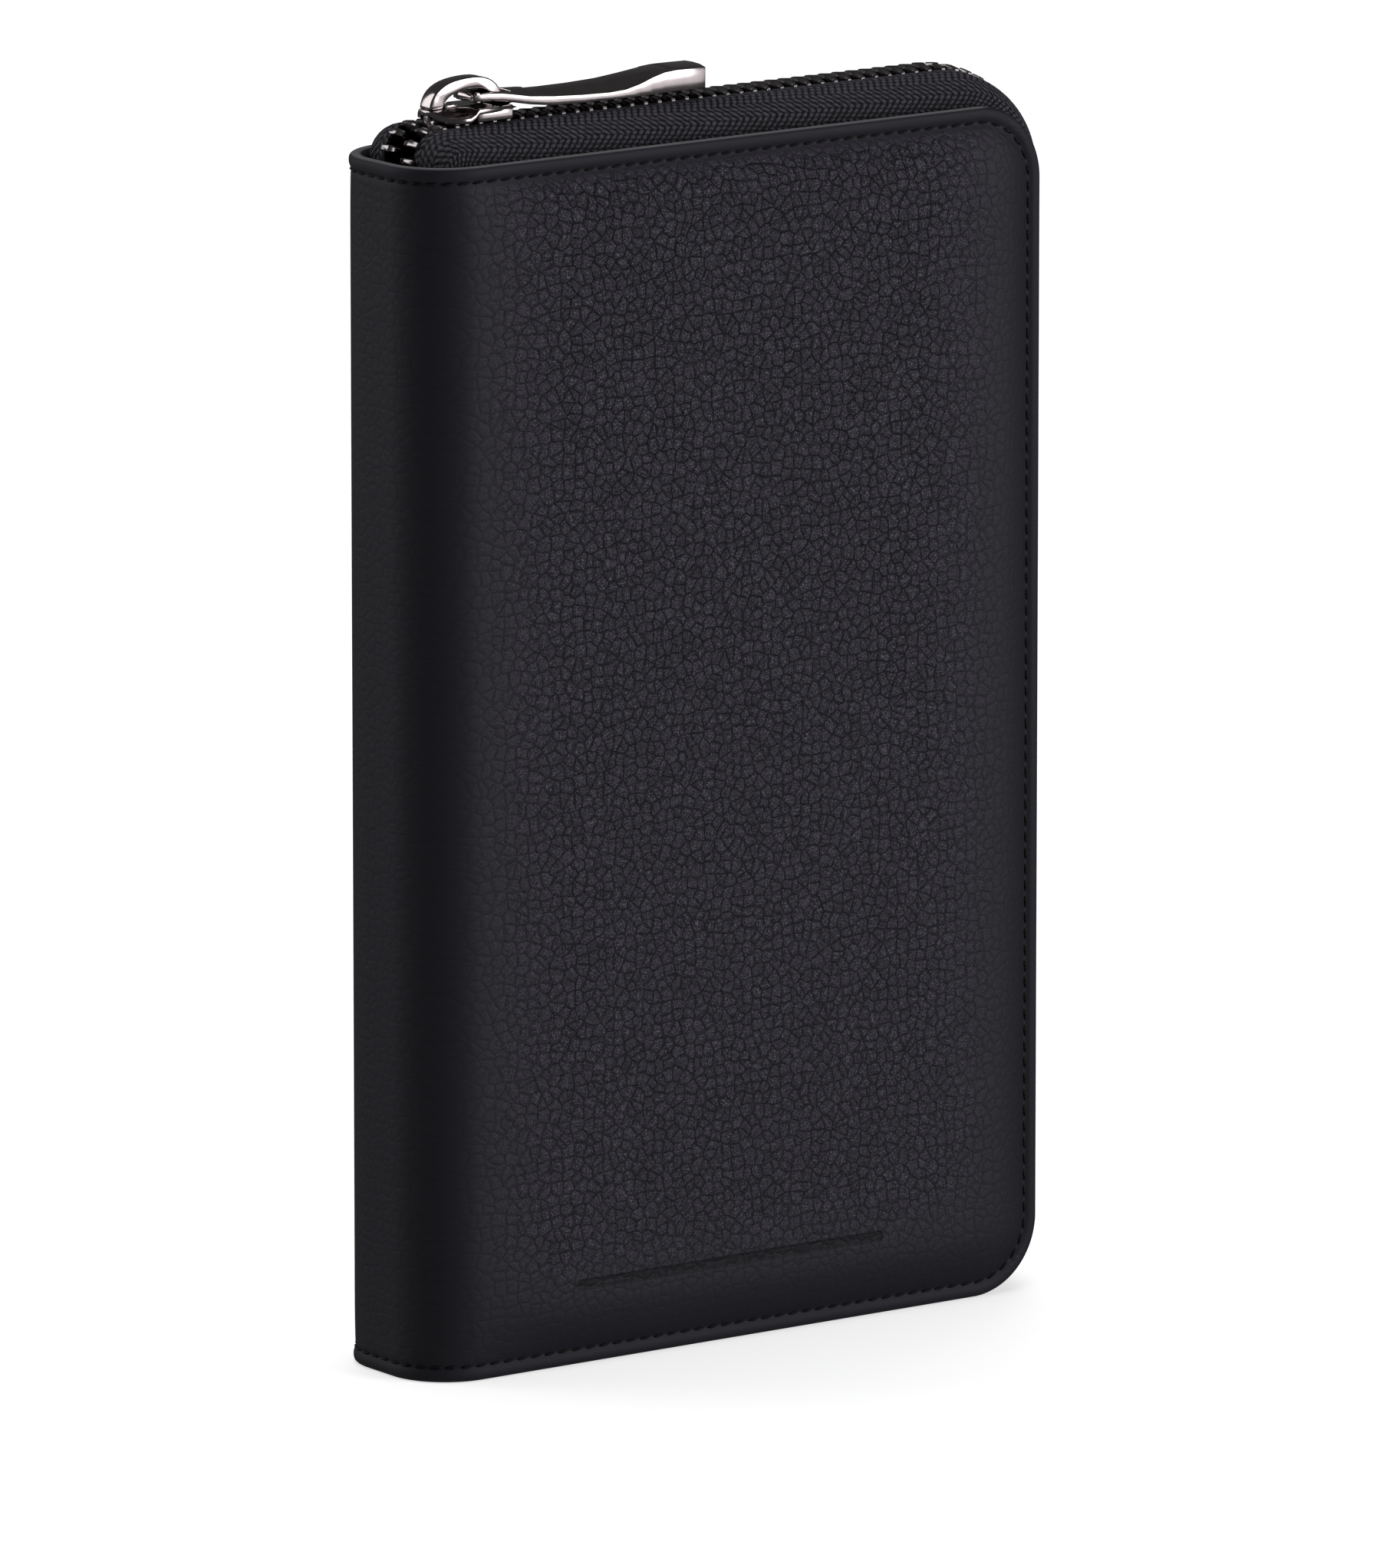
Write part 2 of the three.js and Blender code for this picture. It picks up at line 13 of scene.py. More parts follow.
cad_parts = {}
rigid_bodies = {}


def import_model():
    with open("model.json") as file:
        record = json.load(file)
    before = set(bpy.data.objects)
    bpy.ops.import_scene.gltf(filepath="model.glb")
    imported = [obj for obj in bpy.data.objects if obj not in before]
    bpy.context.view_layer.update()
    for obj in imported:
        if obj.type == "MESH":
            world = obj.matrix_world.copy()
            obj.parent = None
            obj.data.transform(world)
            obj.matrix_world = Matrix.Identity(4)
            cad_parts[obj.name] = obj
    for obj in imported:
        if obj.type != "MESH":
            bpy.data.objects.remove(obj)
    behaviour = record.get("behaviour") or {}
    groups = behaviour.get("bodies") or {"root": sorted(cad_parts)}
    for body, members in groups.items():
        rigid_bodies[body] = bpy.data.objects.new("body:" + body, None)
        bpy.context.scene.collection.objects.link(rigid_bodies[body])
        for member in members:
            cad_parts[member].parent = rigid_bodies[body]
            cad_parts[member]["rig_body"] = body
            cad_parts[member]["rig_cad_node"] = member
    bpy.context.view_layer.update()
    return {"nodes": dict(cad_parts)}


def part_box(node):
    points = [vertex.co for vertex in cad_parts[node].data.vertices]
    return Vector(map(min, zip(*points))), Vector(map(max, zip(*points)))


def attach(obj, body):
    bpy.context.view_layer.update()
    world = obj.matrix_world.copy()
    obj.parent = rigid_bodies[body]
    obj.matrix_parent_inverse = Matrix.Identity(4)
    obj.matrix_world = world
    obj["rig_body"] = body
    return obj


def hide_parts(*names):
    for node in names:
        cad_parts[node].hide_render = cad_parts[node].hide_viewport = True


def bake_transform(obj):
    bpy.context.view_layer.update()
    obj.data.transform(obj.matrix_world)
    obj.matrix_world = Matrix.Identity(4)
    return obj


bl_info = {
    "name": "Travel Document Organizer",
    "version": (1, 0, 0),
    "blender": (4, 5, 0),
    "location": "3D View > Sidebar > Organizer",
    "description": "Makes a zip-around leather travel document organizer around its packed frame",
    "category": "Add Mesh",
}

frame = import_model()

MM = 0.001
SIDES = {"front": -1, "rear": 1}

# Places that the frame gives.
_, COVER_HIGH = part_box("front_cover_leather")
SPINE_LOW, SPINE_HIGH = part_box("spine_leather")
HEIGHT = COVER_HIGH.z
ZIP_SIDE_X = COVER_HIGH.x
SPINE_X = SPINE_LOW.x
BEND_END_X = SPINE_HIGH.x
RIM_Y = SPINE_HIGH.y
BEND_R = BEND_END_X - SPINE_X
SPINE_HALF = RIM_Y - BEND_R
BEND_END = SPINE_HALF + BEND_R * math.pi / 2
SHEET = BEND_END + ZIP_SIDE_X - BEND_END_X


# ---- Sizes and colours ----


def length(name, description, millimetres):
    return FloatProperty(
        name=name, description=description, default=millimetres * MM, min=0, unit="LENGTH"
    )


def colour(name, description, rgb):
    return FloatVectorProperty(
        name=name, description=description, default=rgb, subtype="COLOR", min=0, max=1
    )


class OrganizerSizes(bpy.types.PropertyGroup):
    """Sizes of the leather, the thread and the zip"""

    corner: length("Corner", "Radius of the covers' corners on the zip side", 14)
    skin: length("Leather", "Thickness of the outer leather", 1.2)
    crown: length("Crown", "How far the padding lifts the leather", 2.75)
    shoulder: length("Shoulder", "Width over which the padding rises", 11)
    stitch_inset: length("Stitch inset", "From a cover's edge to its stitching", 2.8)
    stitch_pitch: length("Stitch pitch", "From one stitch to the next", 3.0)
    tooth_pitch: length("Tooth pitch", "From one tooth to the next on a tape", 3.0)
    chain_out: length("Chain height", "How far the chain stands out along the top", 4.9)
    tape_width: length("Sewn tape", "Width of tape that is sewn in behind the edge", 7)


class OrganizerColours(bpy.types.PropertyGroup):
    """Colours of the leather, the cloth and the metal"""

    leather: colour("Leather", "Outer leather", (0.0070, 0.0062, 0.0100))
    # Painted highlight: a lighter colour for the tops of the leather's pebbles.
    pebble: colour("Pebble", "Worn tops of the leather's pebbles", (0.0960, 0.0885, 0.1170))
    # Painted shade: near-black for the bottoms of the leather's creases.
    crease_shade: colour("Crease", "Bottom of the leather's creases", (0.0012, 0.0011, 0.0018))
    # Painted highlight: a light grey for a thin line along the leather's outer edge.
    lip: colour("Lip", "Painted edge of the leather", (0.085, 0.085, 0.090))
    lining: colour("Lining", "Woven lining", (0.0135, 0.0135, 0.0175))
    thread: colour("Thread", "Stitching", (0.0032, 0.0030, 0.0040))
    tape: colour("Tape", "Woven zip tape", (0.0185, 0.0170, 0.0228))
    metal: colour("Metal", "Polished gunmetal", (0.36, 0.32, 0.325))
    teeth: colour("Teeth", "Zip teeth", (0.27, 0.25, 0.255))
    foam: colour("Foam", "Padding", (0.09, 0.09, 0.10))
    board: colour("Board", "Stiffening board", (0.16, 0.12, 0.085))


# ---- Modelling helpers ----


def clear_selection():
    if bpy.context.object and bpy.context.object.mode != "OBJECT":
        bpy.ops.object.mode_set(mode="OBJECT")
    bpy.ops.object.select_all(action="DESELECT")


def focus(piece):
    clear_selection()
    piece.select_set(True)
    bpy.context.view_layer.objects.active = piece


def primitive(name, add, **settings):
    """Adds a primitive with its operator, names it, and puts its place into its mesh."""
    clear_selection()
    add(**settings)
    piece = bpy.context.object
    piece.name = piece.data.name = name
    bpy.ops.object.transform_apply(location=True, rotation=True, scale=True)
    return piece


@contextmanager
def editing(piece, elements="FACE"):
    """Edit mode on one piece, with nothing selected."""
    focus(piece)
    bpy.ops.object.mode_set(mode="EDIT")
    bpy.ops.mesh.select_mode(type=elements)
    bpy.ops.mesh.select_all(action="DESELECT")
    yield
    bpy.ops.object.mode_set(mode="OBJECT")


def select(kind, test):
    """Selects the faces, edges or verts of the piece being edited that pass a test."""
    data = bpy.context.object.data
    mesh = bmesh.from_edit_mesh(data)
    for element in getattr(mesh, kind):
        element.select_set(test(element))
    mesh.select_flush_mode()
    bmesh.update_edit_mesh(data)


def points_of(piece):
    points = np.empty(len(piece.data.vertices) * 3)
    piece.data.vertices.foreach_get("co", points)
    return points.reshape(-1, 3)


def place_points(piece, points):
    piece.data.vertices.foreach_set("co", np.asarray(points, float).ravel())
    piece.data.update()


def modify(piece, kind, **settings):
    """Adds a modifier and applies it."""
    focus(piece)
    modifier = piece.modifiers.new(kind.title(), kind)
    for key, value in settings.items():
        setattr(modifier, key, value)
    bpy.ops.object.modifier_apply(modifier=modifier.name)


def soften(piece, width, segments=2, angle=35):
    """Rounds a piece's sharp edges."""
    modify(
        piece,
        "BEVEL",
        width=width,
        segments=segments,
        limit_method="ANGLE",
        angle_limit=math.radians(angle),
        harden_normals=False,
    )


def smooth(piece, angle=40):
    focus(piece)
    bpy.ops.object.shade_smooth_by_angle(angle=math.radians(angle), keep_sharp_edges=False)


def recalculate_normals(piece):
    with editing(piece):
        bpy.ops.mesh.select_all(action="SELECT")
        bpy.ops.mesh.remove_doubles(threshold=0.001 * MM)
        bpy.ops.mesh.normals_make_consistent(inside=False)


def flip(piece):
    with editing(piece):
        bpy.ops.mesh.select_all(action="SELECT")
        bpy.ops.mesh.flip_normals()


def join(name, *pieces):
    clear_selection()
    for piece in pieces:
        piece.select_set(True)
    bpy.context.view_layer.objects.active = pieces[0]
    bpy.ops.object.join()
    pieces[0].name = pieces[0].data.name = name
    return pieces[0]


def combine(piece, tool, operation):
    """Joins or cuts one closed piece with another, which is used up."""
    modify(piece, "BOOLEAN", object=tool, operation=operation, solver="EXACT")
    bpy.data.objects.remove(tool)


def block(name, x, y, z):
    """A box between two places along each axis, in millimetres."""
    spans = np.array([x, y, z]) * MM
    return primitive(
        name,
        bpy.ops.mesh.primitive_cube_add,
        size=1,
        location=spans.mean(axis=1),
        scale=np.abs(spans[:, 1] - spans[:, 0]),
    )


def panel(name, outline, low, high, plane="XZ"):
    """A flat piece with an outline in millimetres, thick between two places across its plane."""
    count = len(outline)
    piece = primitive(
        name, bpy.ops.mesh.primitive_circle_add, vertices=count, fill_type="NGON"
    )
    across = {"XZ": 1, "XY": 2, "YZ": 0}[plane]
    first, second = [axis for axis in range(3) if axis != across]
    points = np.empty((count, 3))
    points[:, first], points[:, second] = np.array(outline).T * MM
    points[:, across] = low * MM
    place_points(piece, points)
    with editing(piece):
        bpy.ops.mesh.select_all(action="SELECT")
        shift = np.zeros(3)
        shift[across] = (high - low) * MM
        bpy.ops.mesh.extrude_region_move(TRANSFORM_OT_translate={"value": shift})
    recalculate_normals(piece)
    return piece


def copies(name, template, frames):
    """One piece made of a template's mesh at each of many frames. The template is used up."""
    points = points_of(template)
    faces = [list(face.vertices) for face in template.data.polygons]
    all_points, all_faces = [], []
    for index, turned in enumerate(frames):
        turned = np.asarray(turned, float)
        all_points.append(points @ turned[:3, :3].T + turned[:3, 3])
        mirrored = np.linalg.det(turned[:3, :3]) < 0
        start = index * len(points)
        for face in faces:
            corners = [start + corner for corner in face]
            all_faces.append(corners[::-1] if mirrored else corners)
    mesh = bpy.data.meshes.new(name)
    mesh.from_pydata(np.concatenate(all_points).tolist(), [], all_faces)
    piece = bpy.data.objects.new(name, mesh)
    bpy.context.scene.collection.objects.link(piece)
    bpy.data.objects.remove(template)
    return piece


def ease(value):
    """A smooth step from 0 to 1."""
    value = np.clip(value, 0, 1)
    return value * value * (3 - 2 * value)


# ---- The folded sheet: one half of the cover, from the spine's middle to the zip side ----


def wrap(along, up, depth, side):
    """Places on one half of the folded sheet, in from its outer face at the rolled edge."""
    angle = np.clip((along - SPINE_HALF) / BEND_R, 0, math.pi / 2)
    bent = along > SPINE_HALF
    x = BEND_END_X - (BEND_R - depth) * np.cos(angle) + np.maximum(0, along - BEND_END)
    y = np.where(bent, SPINE_HALF + (BEND_R - depth) * np.sin(angle), along)
    return np.stack([x, side * y, up + 0 * along], axis=-1)


def half_sheet(name, side, edge, columns, rows, corner, relief=None):
    """A grid over half of the sheet, whose outer lines run round its corners.

    edge lists the inset and depth of each outer line, from the sheet's end to where the corner's
    radius is used up. columns and rows place the inner lines, along the sheet and up it.
    """
    edge = np.array(edge)
    rings = len(edge)
    across, tall = len(columns) + rings - 1, len(rows) + 2 * rings - 1
    piece = primitive(
        name,
        bpy.ops.mesh.primitive_grid_add,
        x_subdivisions=across,
        y_subdivisions=tall,
        size=1,
    )
    grid = points_of(piece)
    column = np.rint((grid[:, 0] + 0.5) * across).astype(int)
    row = np.rint((grid[:, 1] + 0.5) * tall).astype(int)
    from_zip, from_end = across - column, np.minimum(row, tall - row)
    ring = np.minimum(from_zip, from_end)
    on_ring = ring < rings
    inset, depth = edge[np.minimum(ring, rings - 1)].T
    along = np.append(columns, SHEET - corner)[np.minimum(column, len(columns))]
    up = rows[np.clip(row - rings, 0, len(rows) - 1)]
    low = row < tall / 2
    near_end = np.where(low, inset, HEIGHT - inset)
    straight_end = on_ring & (from_zip >= rings)
    straight_side = on_ring & (from_end >= rings)
    round_part = on_ring & ~straight_end & ~straight_side
    span = np.maximum(rings - 1 - ring, 1)
    turn = (from_zip - from_end) / span * math.pi / 4 + math.pi / 4
    radius = corner - inset
    rise = np.where(low, corner - radius * np.sin(turn), HEIGHT - corner + radius * np.sin(turn))
    along = np.where(straight_side, SHEET - inset, along)
    along = np.where(round_part, SHEET - corner + radius * np.cos(turn), along)
    up = np.where(straight_end, near_end, up)
    up = np.where(round_part, rise, up)
    inner = np.minimum(np.minimum(up, HEIGHT - up), SHEET - along)
    inset = np.where(on_ring, inset, inner)
    depth = np.where(on_ring, depth, edge[-1, 1])
    if relief:
        first = int(np.argmin(edge[:, 0]))
        outside = ~on_ring | (ring > first)
        depth = depth + relief(along, inset) * outside
    place_points(piece, wrap(along, up, depth, side))
    if side > 0:
        flip(piece)
    return piece


def lines(*stretches):
    """Values from stretches of (start, end, step), each without its end, in millimetres."""
    return np.concatenate([np.arange(a, b - step / 4, step) for a, b, step in stretches]) * MM


# ---- Materials ----

# Places and sizes of patterns, in millimetres.
BAR_X, BAR_Z, BAR_HALF_LENGTH = -6, 15.2, 33
TAPE_BAND, TAPE_RIB, TAPE_STRAND = 2.3, 1.45, 0.82
ELASTIC_RIB = 1.1


class Wire:
    """A socket of a node, with Python's operators as Math nodes."""

    def __init__(self, finish, socket):
        self.finish, self.socket = finish, socket

    def _math(self, operation, *values):
        return self.finish.node("ShaderNodeMath", {"operation": operation}, values)

    def __add__(self, other):
        return self._math("ADD", self, other)

    def __sub__(self, other):
        return self._math("SUBTRACT", self, other)

    def __rsub__(self, other):
        return self._math("SUBTRACT", other, self)

    def __mul__(self, other):
        return self._math("MULTIPLY", self, other)

    def __truediv__(self, other):
        return self._math("DIVIDE", self, other)

    def __pow__(self, other):
        return self._math("POWER", self, other)

    __radd__, __rmul__ = __add__, __mul__

    def wave(self):
        return self._math("SINE", self)

    def lowest(self, other):
        return self._math("MINIMUM", self, other)

    def highest(self, other):
        return self._math("MAXIMUM", self, other)

    def size(self):
        return self._math("ABSOLUTE", self)

    def part(self):
        return self._math("FRACT", self)

    def zigzag(self, peak):
        return self._math("PINGPONG", self, peak)

    def ramp(self, start, end):
        """Rises smoothly from 0 at start to 1 at end."""
        values = (self, start, end, 0, 1)
        return self.finish.node("ShaderNodeMapRange", {"interpolation_type": "SMOOTHSTEP"}, values)


class Finish:
    """A material in the making. node() adds any node, with its settings and its sockets' values."""

    def __init__(self, name, **surface):
        self.material = bpy.data.materials.new(name)
        self.material.use_nodes = True
        self.tree = self.material.node_tree
        self.surface = self.tree.nodes["Principled BSDF"]
        for socket, value in surface.items():
            self.connect(self.surface.inputs[socket.replace("_", " ")], value)

    def connect(self, socket, value):
        if isinstance(value, Wire):
            self.tree.links.new(value.socket, socket)
        elif value is not None:
            rgb = socket.type == "RGBA" and len(value) == 3
            socket.default_value = (*value, 1) if rgb else value

    def node(self, kind, settings=None, values=(), output=0):
        made = self.tree.nodes.new(kind)
        for key, value in (settings or {}).items():
            setattr(made, key, value)
        pairs = values.items() if isinstance(values, dict) else enumerate(values)
        for key, value in pairs:
            self.connect(made.inputs[key], value)
        return Wire(self, made.outputs[output])

    def set(self, **surface):
        for socket, value in surface.items():
            self.connect(self.surface.inputs[socket.replace("_", " ")], value)
        return self.material

    def place(self):
        """Object coordinates in millimetres."""
        coordinates = self.node("ShaderNodeTexCoord", output="Object")
        return self.scaled(coordinates, 1 / MM)

    def scaled(self, vector, factor):
        factors = factor if isinstance(factor, tuple) else (factor,) * 3
        return self.node("ShaderNodeVectorMath", {"operation": "MULTIPLY"}, (vector, factors))

    def axes(self, vector):
        separate = self.node("ShaderNodeSeparateXYZ", values=(vector,))
        return [Wire(self, socket) for socket in separate.socket.node.outputs]

    def noise(self, vector, scale, detail=2, roughness=0.5):
        values = {"Vector": vector, "Scale": scale, "Detail": detail, "Roughness": roughness}
        return self.node("ShaderNodeTexNoise", values=values, output="Fac")

    def drift(self, vector, scale, amount):
        """The vector moved about by noise."""
        values = {"Vector": vector, "Scale": scale, "Detail": 2}
        noise = self.node("ShaderNodeTexNoise", values=values, output="Color")
        centred = self.node(
            "ShaderNodeVectorMath", {"operation": "SUBTRACT"}, (noise, (0.5, 0.5, 0.5))
        )
        moved = self.scaled(centred, amount)
        return self.node("ShaderNodeVectorMath", {"operation": "ADD"}, (vector, moved))

    def cells(self, vector, scale, randomness=1.0, dimensions="3D"):
        """Distance from the nearest border between cells, in cells."""
        return self.node(
            "ShaderNodeTexVoronoi",
            {"feature": "DISTANCE_TO_EDGE", "voronoi_dimensions": dimensions},
            {"Vector": vector, "Scale": scale, "Randomness": randomness},
            output="Distance",
        )

    def mix(self, factor, first, second):
        values = {0: factor, 6: first, 7: second}
        return self.node("ShaderNodeMix", {"data_type": "RGBA"}, values, output=2)

    def bump(self, height, strength=1.0):
        """Relief from a height in millimetres."""
        return self.node(
            "ShaderNodeBump", values={"Height": height, "Strength": strength, "Distance": MM}
        )


def shades(rgb, *shares):
    """A colour made darker or lighter by each of some shares."""
    return [[channel * share for channel in rgb] for share in shares]


def pebbled_leather(colours):
    """Full-grain leather: pebbled in a cover's middle, stretched smooth at its edges and spine."""
    finish = Finish("pebbled_leather")
    place = finish.place()
    x, y, z = finish.axes(place)
    height_mm = HEIGHT / MM
    top, bottom, zip_side = height_mm - z, z, ZIP_SIDE_X / MM - x
    in_from_edge = top.lowest(bottom).lowest(zip_side)
    rim = in_from_edge.ramp(2.9, 4.2)
    # Painted highlight: a thin light line right along the leather's outer edges, which are also
    # made smoother.
    lip = 1 - in_from_edge.ramp(0.06, 0.34)

    # The grain is strongest high up in the middle, and patchy. It also scales the painted shade in
    # the hollows and the painted highlight on the pebbles, so both are stronger higher up.
    patches = finish.noise(place, 0.07, 3)
    middle = top.ramp(2.8, 4.6 + 2.5 * patches) * bottom.ramp(8, 26) * zip_side.ramp(6, 30)
    middle = middle * (x - BEND_END_X / MM).ramp(-6, 20)
    grain = middle * (0.76 + 0.24 * z / height_mm + 0.15 * (patches - 0.5))
    smooth_part = 1 - middle
    trace = 0.14 * rim * smooth_part

    # Pebbles, the wrinkles across them, and a web of fine crinkles over everything.
    hide = finish.node("ShaderNodeCombineXYZ", values=(x + y, z))
    pebbles = finish.cells(finish.drift(hide, 0.7, 0.7), 0.46, 0.9, "2D")
    wrinkles = finish.cells(finish.drift(hide, 1.6, 0.5), 1.35, 1.0, "2D")
    web = finish.noise(finish.drift(hide, 1.1, 0.5), 1.9, 3, 0.66)
    crinkles = 1 - (web - 0.5).size().ramp(0.0, 0.07)
    pores = finish.noise(place, 3.6, 4, 0.7)
    folded = finish.noise(place, 0.9, 2).ramp(0.38, 0.58)
    dome = 1 - (1 - (pebbles / 0.36).lowest(1.0)) ** 2.0
    fold = 1 - (1 - (wrinkles / 0.25).lowest(1.0)) ** 2.0
    stretched = finish.drift(finish.scaled(place, (0.13, 0.13, 1.5)), 0.5, 0.6)
    pulls = finish.noise(stretched, 1.0, 5, 0.68).ramp(0.30, 0.52)

    # A plain bar pressed into the front cover, low down.
    beyond = ((x - BAR_X).size() - BAR_HALF_LENGTH).highest(0.0)
    from_bar = (beyond ** 2.0 + (z - BAR_Z) ** 2.0) ** 0.5
    pressed = (1 - from_bar.ramp(0.75, 1.25)) * (0 - y).ramp(0, 1)

    height = dome * (grain + trace) * 0.30 + fold * folded * grain * 0.08
    height = height + pores * (0.014 + 0.10 * grain) - crinkles * grain * 0.08
    height = height + pulls * rim * smooth_part * 0.02 - pressed * 0.3
    # Painted shade: the grain's creases, wrinkles and crinkles, the faint creases of the smooth
    # part and the pressed bar are painted near-black, as shade in their hollows.
    hollow_shade = (1 - pebbles.ramp(0.0, 0.065 + 0.075 * folded)) * (grain * 1.05 + trace)
    hollow_shade = hollow_shade.highest((1 - wrinkles.ramp(0.0, 0.13)) * grain * (0.5 + 0.5 * folded))
    hollow_shade = hollow_shade.highest(crinkles * grain * 0.85).highest(pressed * 0.75)
    # Painted highlight: the pebbles' tops, most of all on their domes, are painted lighter in
    # patches, where light would catch them.
    lit = pores.ramp(0.40, 0.60) * grain * (0.5 + 0.5 * dome)
    tone = finish.mix(lit, colours.leather, colours.pebble)
    tone = finish.mix(hollow_shade.lowest(1.0), tone, colours.crease_shade)
    tone = finish.mix(lip, tone, colours.lip)
    creased = (hollow_shade - pressed).highest(0.0).lowest(1.0)
    roughness = 0.67 - 0.05 * rim + 0.38 * creased - 0.13 * grain - 0.25 * lip
    roughness = roughness + 0.05 * (patches - 0.5)
    finish.set(Base_Color=tone, Roughness=roughness, Normal=finish.bump(height))
    return finish.set(Specular_IOR_Level=0.36, Specular_Tint=(0.95, 0.92, 1.0))


def calf_leather(colours):
    """Smooth leather with fine pores, for pockets and the coin compartment."""
    finish = Finish("calf_leather")
    place = finish.place()
    pores = finish.cells(finish.drift(place, 1.2, 0.4), 1.1)
    fine = finish.noise(place, 4.0, 4, 0.6)
    height = pores.ramp(0, 0.25) * 0.03 + fine * 0.02
    tone = finish.mix(finish.noise(place, 0.08, 3), *shades(colours.leather, 1.5, 2.3))
    roughness = 0.47 + 0.10 * fine
    return finish.set(Base_Color=tone, Roughness=roughness, Normal=finish.bump(height))


def woven_lining(colours):
    """Fine twill lining."""
    finish = Finish("woven_lining", Roughness=0.8, Sheen_Weight=0.25)
    x, _, z = finish.axes(finish.place())
    warp = ((x + z) * 9.0).wave()
    weft = ((x - z) * 3.2).wave()
    threads = warp * 0.5 + weft * 0.25
    tone = finish.mix(threads.ramp(-0.6, 0.7), *shades(colours.lining, 0.55, 1))
    return finish.set(Base_Color=tone, Normal=finish.bump(threads * 0.035))


def herringbone_tape(colours):
    """Woven tape: ribs that lean one way and then the other, in bands along the tape."""
    finish = Finish("herringbone_tape", Specular_IOR_Level=0.45)
    sheet = finish.scaled(finish.node("ShaderNodeUVMap", {"uv_map": "UVMap"}), 1 / MM)
    along, across, _ = finish.axes(finish.drift(sheet, 1.5, 0.6))
    lean = (across / TAPE_BAND).zigzag(1.0) * TAPE_BAND
    rib = ((along + lean * 1.1) / TAPE_RIB).part()
    rib_round = 1 - (rib * 2 - 1).size() ** 1.7
    strand = ((across + along * 0.10) / TAPE_STRAND).part()
    strand_round = 1 - (strand * 2 - 1).size() ** 1.7
    weave = rib_round * (0.30 + 0.70 * strand_round)
    fuzz = finish.noise(finish.place(), 2.6, 5, 0.7)
    height = weave * 0.75 + fuzz * 0.50
    # Painted shade and highlight: the weave's pattern is the tape's own, but its gaps are painted
    # near-black and the crowns of its ribs and strands light, as shade and highlight fall on them.
    tone = (weave * (0.5 + 1.0 * fuzz)).ramp(0.10, 0.95)
    tone = finish.mix(tone, *shades(colours.tape, 0.03, 3.6))
    roughness = 0.58 + 0.25 * fuzz
    return finish.set(Base_Color=tone, Roughness=roughness, Normal=finish.bump(height))


def twisted_thread(colours):
    """Bonded thread, with its plies showing."""
    finish = Finish("twisted_thread", Roughness=0.6, Specular_IOR_Level=0.2)
    x, y, z = finish.axes(finish.place())
    plies = ((x + y + z) * 11.0).wave()
    tone = finish.mix(plies.ramp(-0.7, 0.7), *shades(colours.thread, 0.5, 1.6))
    return finish.set(Base_Color=tone, Normal=finish.bump(plies * 0.03))


def gunmetal(colours, name="gunmetal", tint=None, roughness=0.13, wear=0.07):
    """Polished dark metal with faint polishing marks and a slightly uneven plating."""
    finish = Finish(name, Metallic=1.0)
    place = finish.place()
    cloud = finish.noise(place, 0.35, 3)
    marks = finish.noise(finish.scaled(place, (0.5, 6.0, 3.0)), 1.5, 3, 0.6)
    tone = finish.mix(cloud, *shades(tint or colours.metal, 0.86, 1.10))
    rough = roughness + wear * cloud * marks
    return finish.set(Base_Color=tone, Roughness=rough, Normal=finish.bump(marks * 0.0012))


def teeth_metal(colours):
    """The teeth's metal, darker and a little duller than the slider's."""
    return gunmetal(colours, "teeth_metal", colours.teeth, 0.2, 0.1)


def padding_foam(colours):
    """Foam with small bubbles."""
    finish = Finish("padding_foam", Roughness=0.95)
    bubbles = finish.cells(finish.place(), 1.6)
    tone = finish.mix(bubbles.ramp(0, 0.3), *shades(colours.foam, 0.5, 1))
    return finish.set(Base_Color=tone, Normal=finish.bump(bubbles * 0.2))


def grey_board(colours):
    """Stiffening board with its fibres lying along it."""
    finish = Finish("grey_board", Roughness=0.9)
    fibres = finish.noise(finish.scaled(finish.place(), (0.3, 1, 1.4)), 1.5, 5, 0.7)
    tone = finish.mix(fibres, *shades(colours.board, 0.75, 1.2))
    return finish.set(Base_Color=tone, Normal=finish.bump(fibres * 0.05))


def ribbed_elastic(colours):
    """Elastic with ribs across the pen."""
    finish = Finish("ribbed_elastic", Roughness=0.8)
    _, _, z = finish.axes(finish.place())
    ribs = (z * (2 * math.pi / ELASTIC_RIB)).wave()
    tone = finish.mix(ribs.ramp(-0.8, 0.8), *shades(colours.tape, 0.5, 1))
    return finish.set(Base_Color=tone, Normal=finish.bump(ribs * 0.08))


MAKERS = {
    "leather": pebbled_leather,
    "calf": calf_leather,
    "lining": woven_lining,
    "tape": herringbone_tape,
    "thread": twisted_thread,
    "metal": gunmetal,
    "teeth": teeth_metal,
    "foam": padding_foam,
    "board": grey_board,
    "elastic": ribbed_elastic,
}
_made = {}  # the materials made so far, by finish


def dress(piece, finish, colours):
    """Gives a piece its material."""
    if finish not in _made:
        _made[finish] = MAKERS[finish](colours)
    piece.data.materials.clear()
    piece.data.materials.append(_made[finish])


def settle(piece, finish, bodies, *nodes):
    """A finished piece: its material, the body or bodies it moves with, and what it stands for."""
    dress(piece, finish, bpy.context.scene.organizer_colours)
    if isinstance(bodies, str):
        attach(piece, bodies)
    else:
        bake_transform(piece)
    if nodes:
        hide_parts(*nodes)
    return piece


# ---- Covers and spine ----


def pad_lift(sizes):
    """How the padding lifts the leather, by where on the sheet and how far in from its edge."""

    def relief(along, inset):
        rise = np.clip((inset - 3.2 * MM) / sizes.shoulder, 0, 1)
        lift = (1 - (1 - rise) ** 2.6) * ease((along - SPINE_HALF - 3 * MM) / (40 * MM))
        return -sizes.crown * lift

    return relief


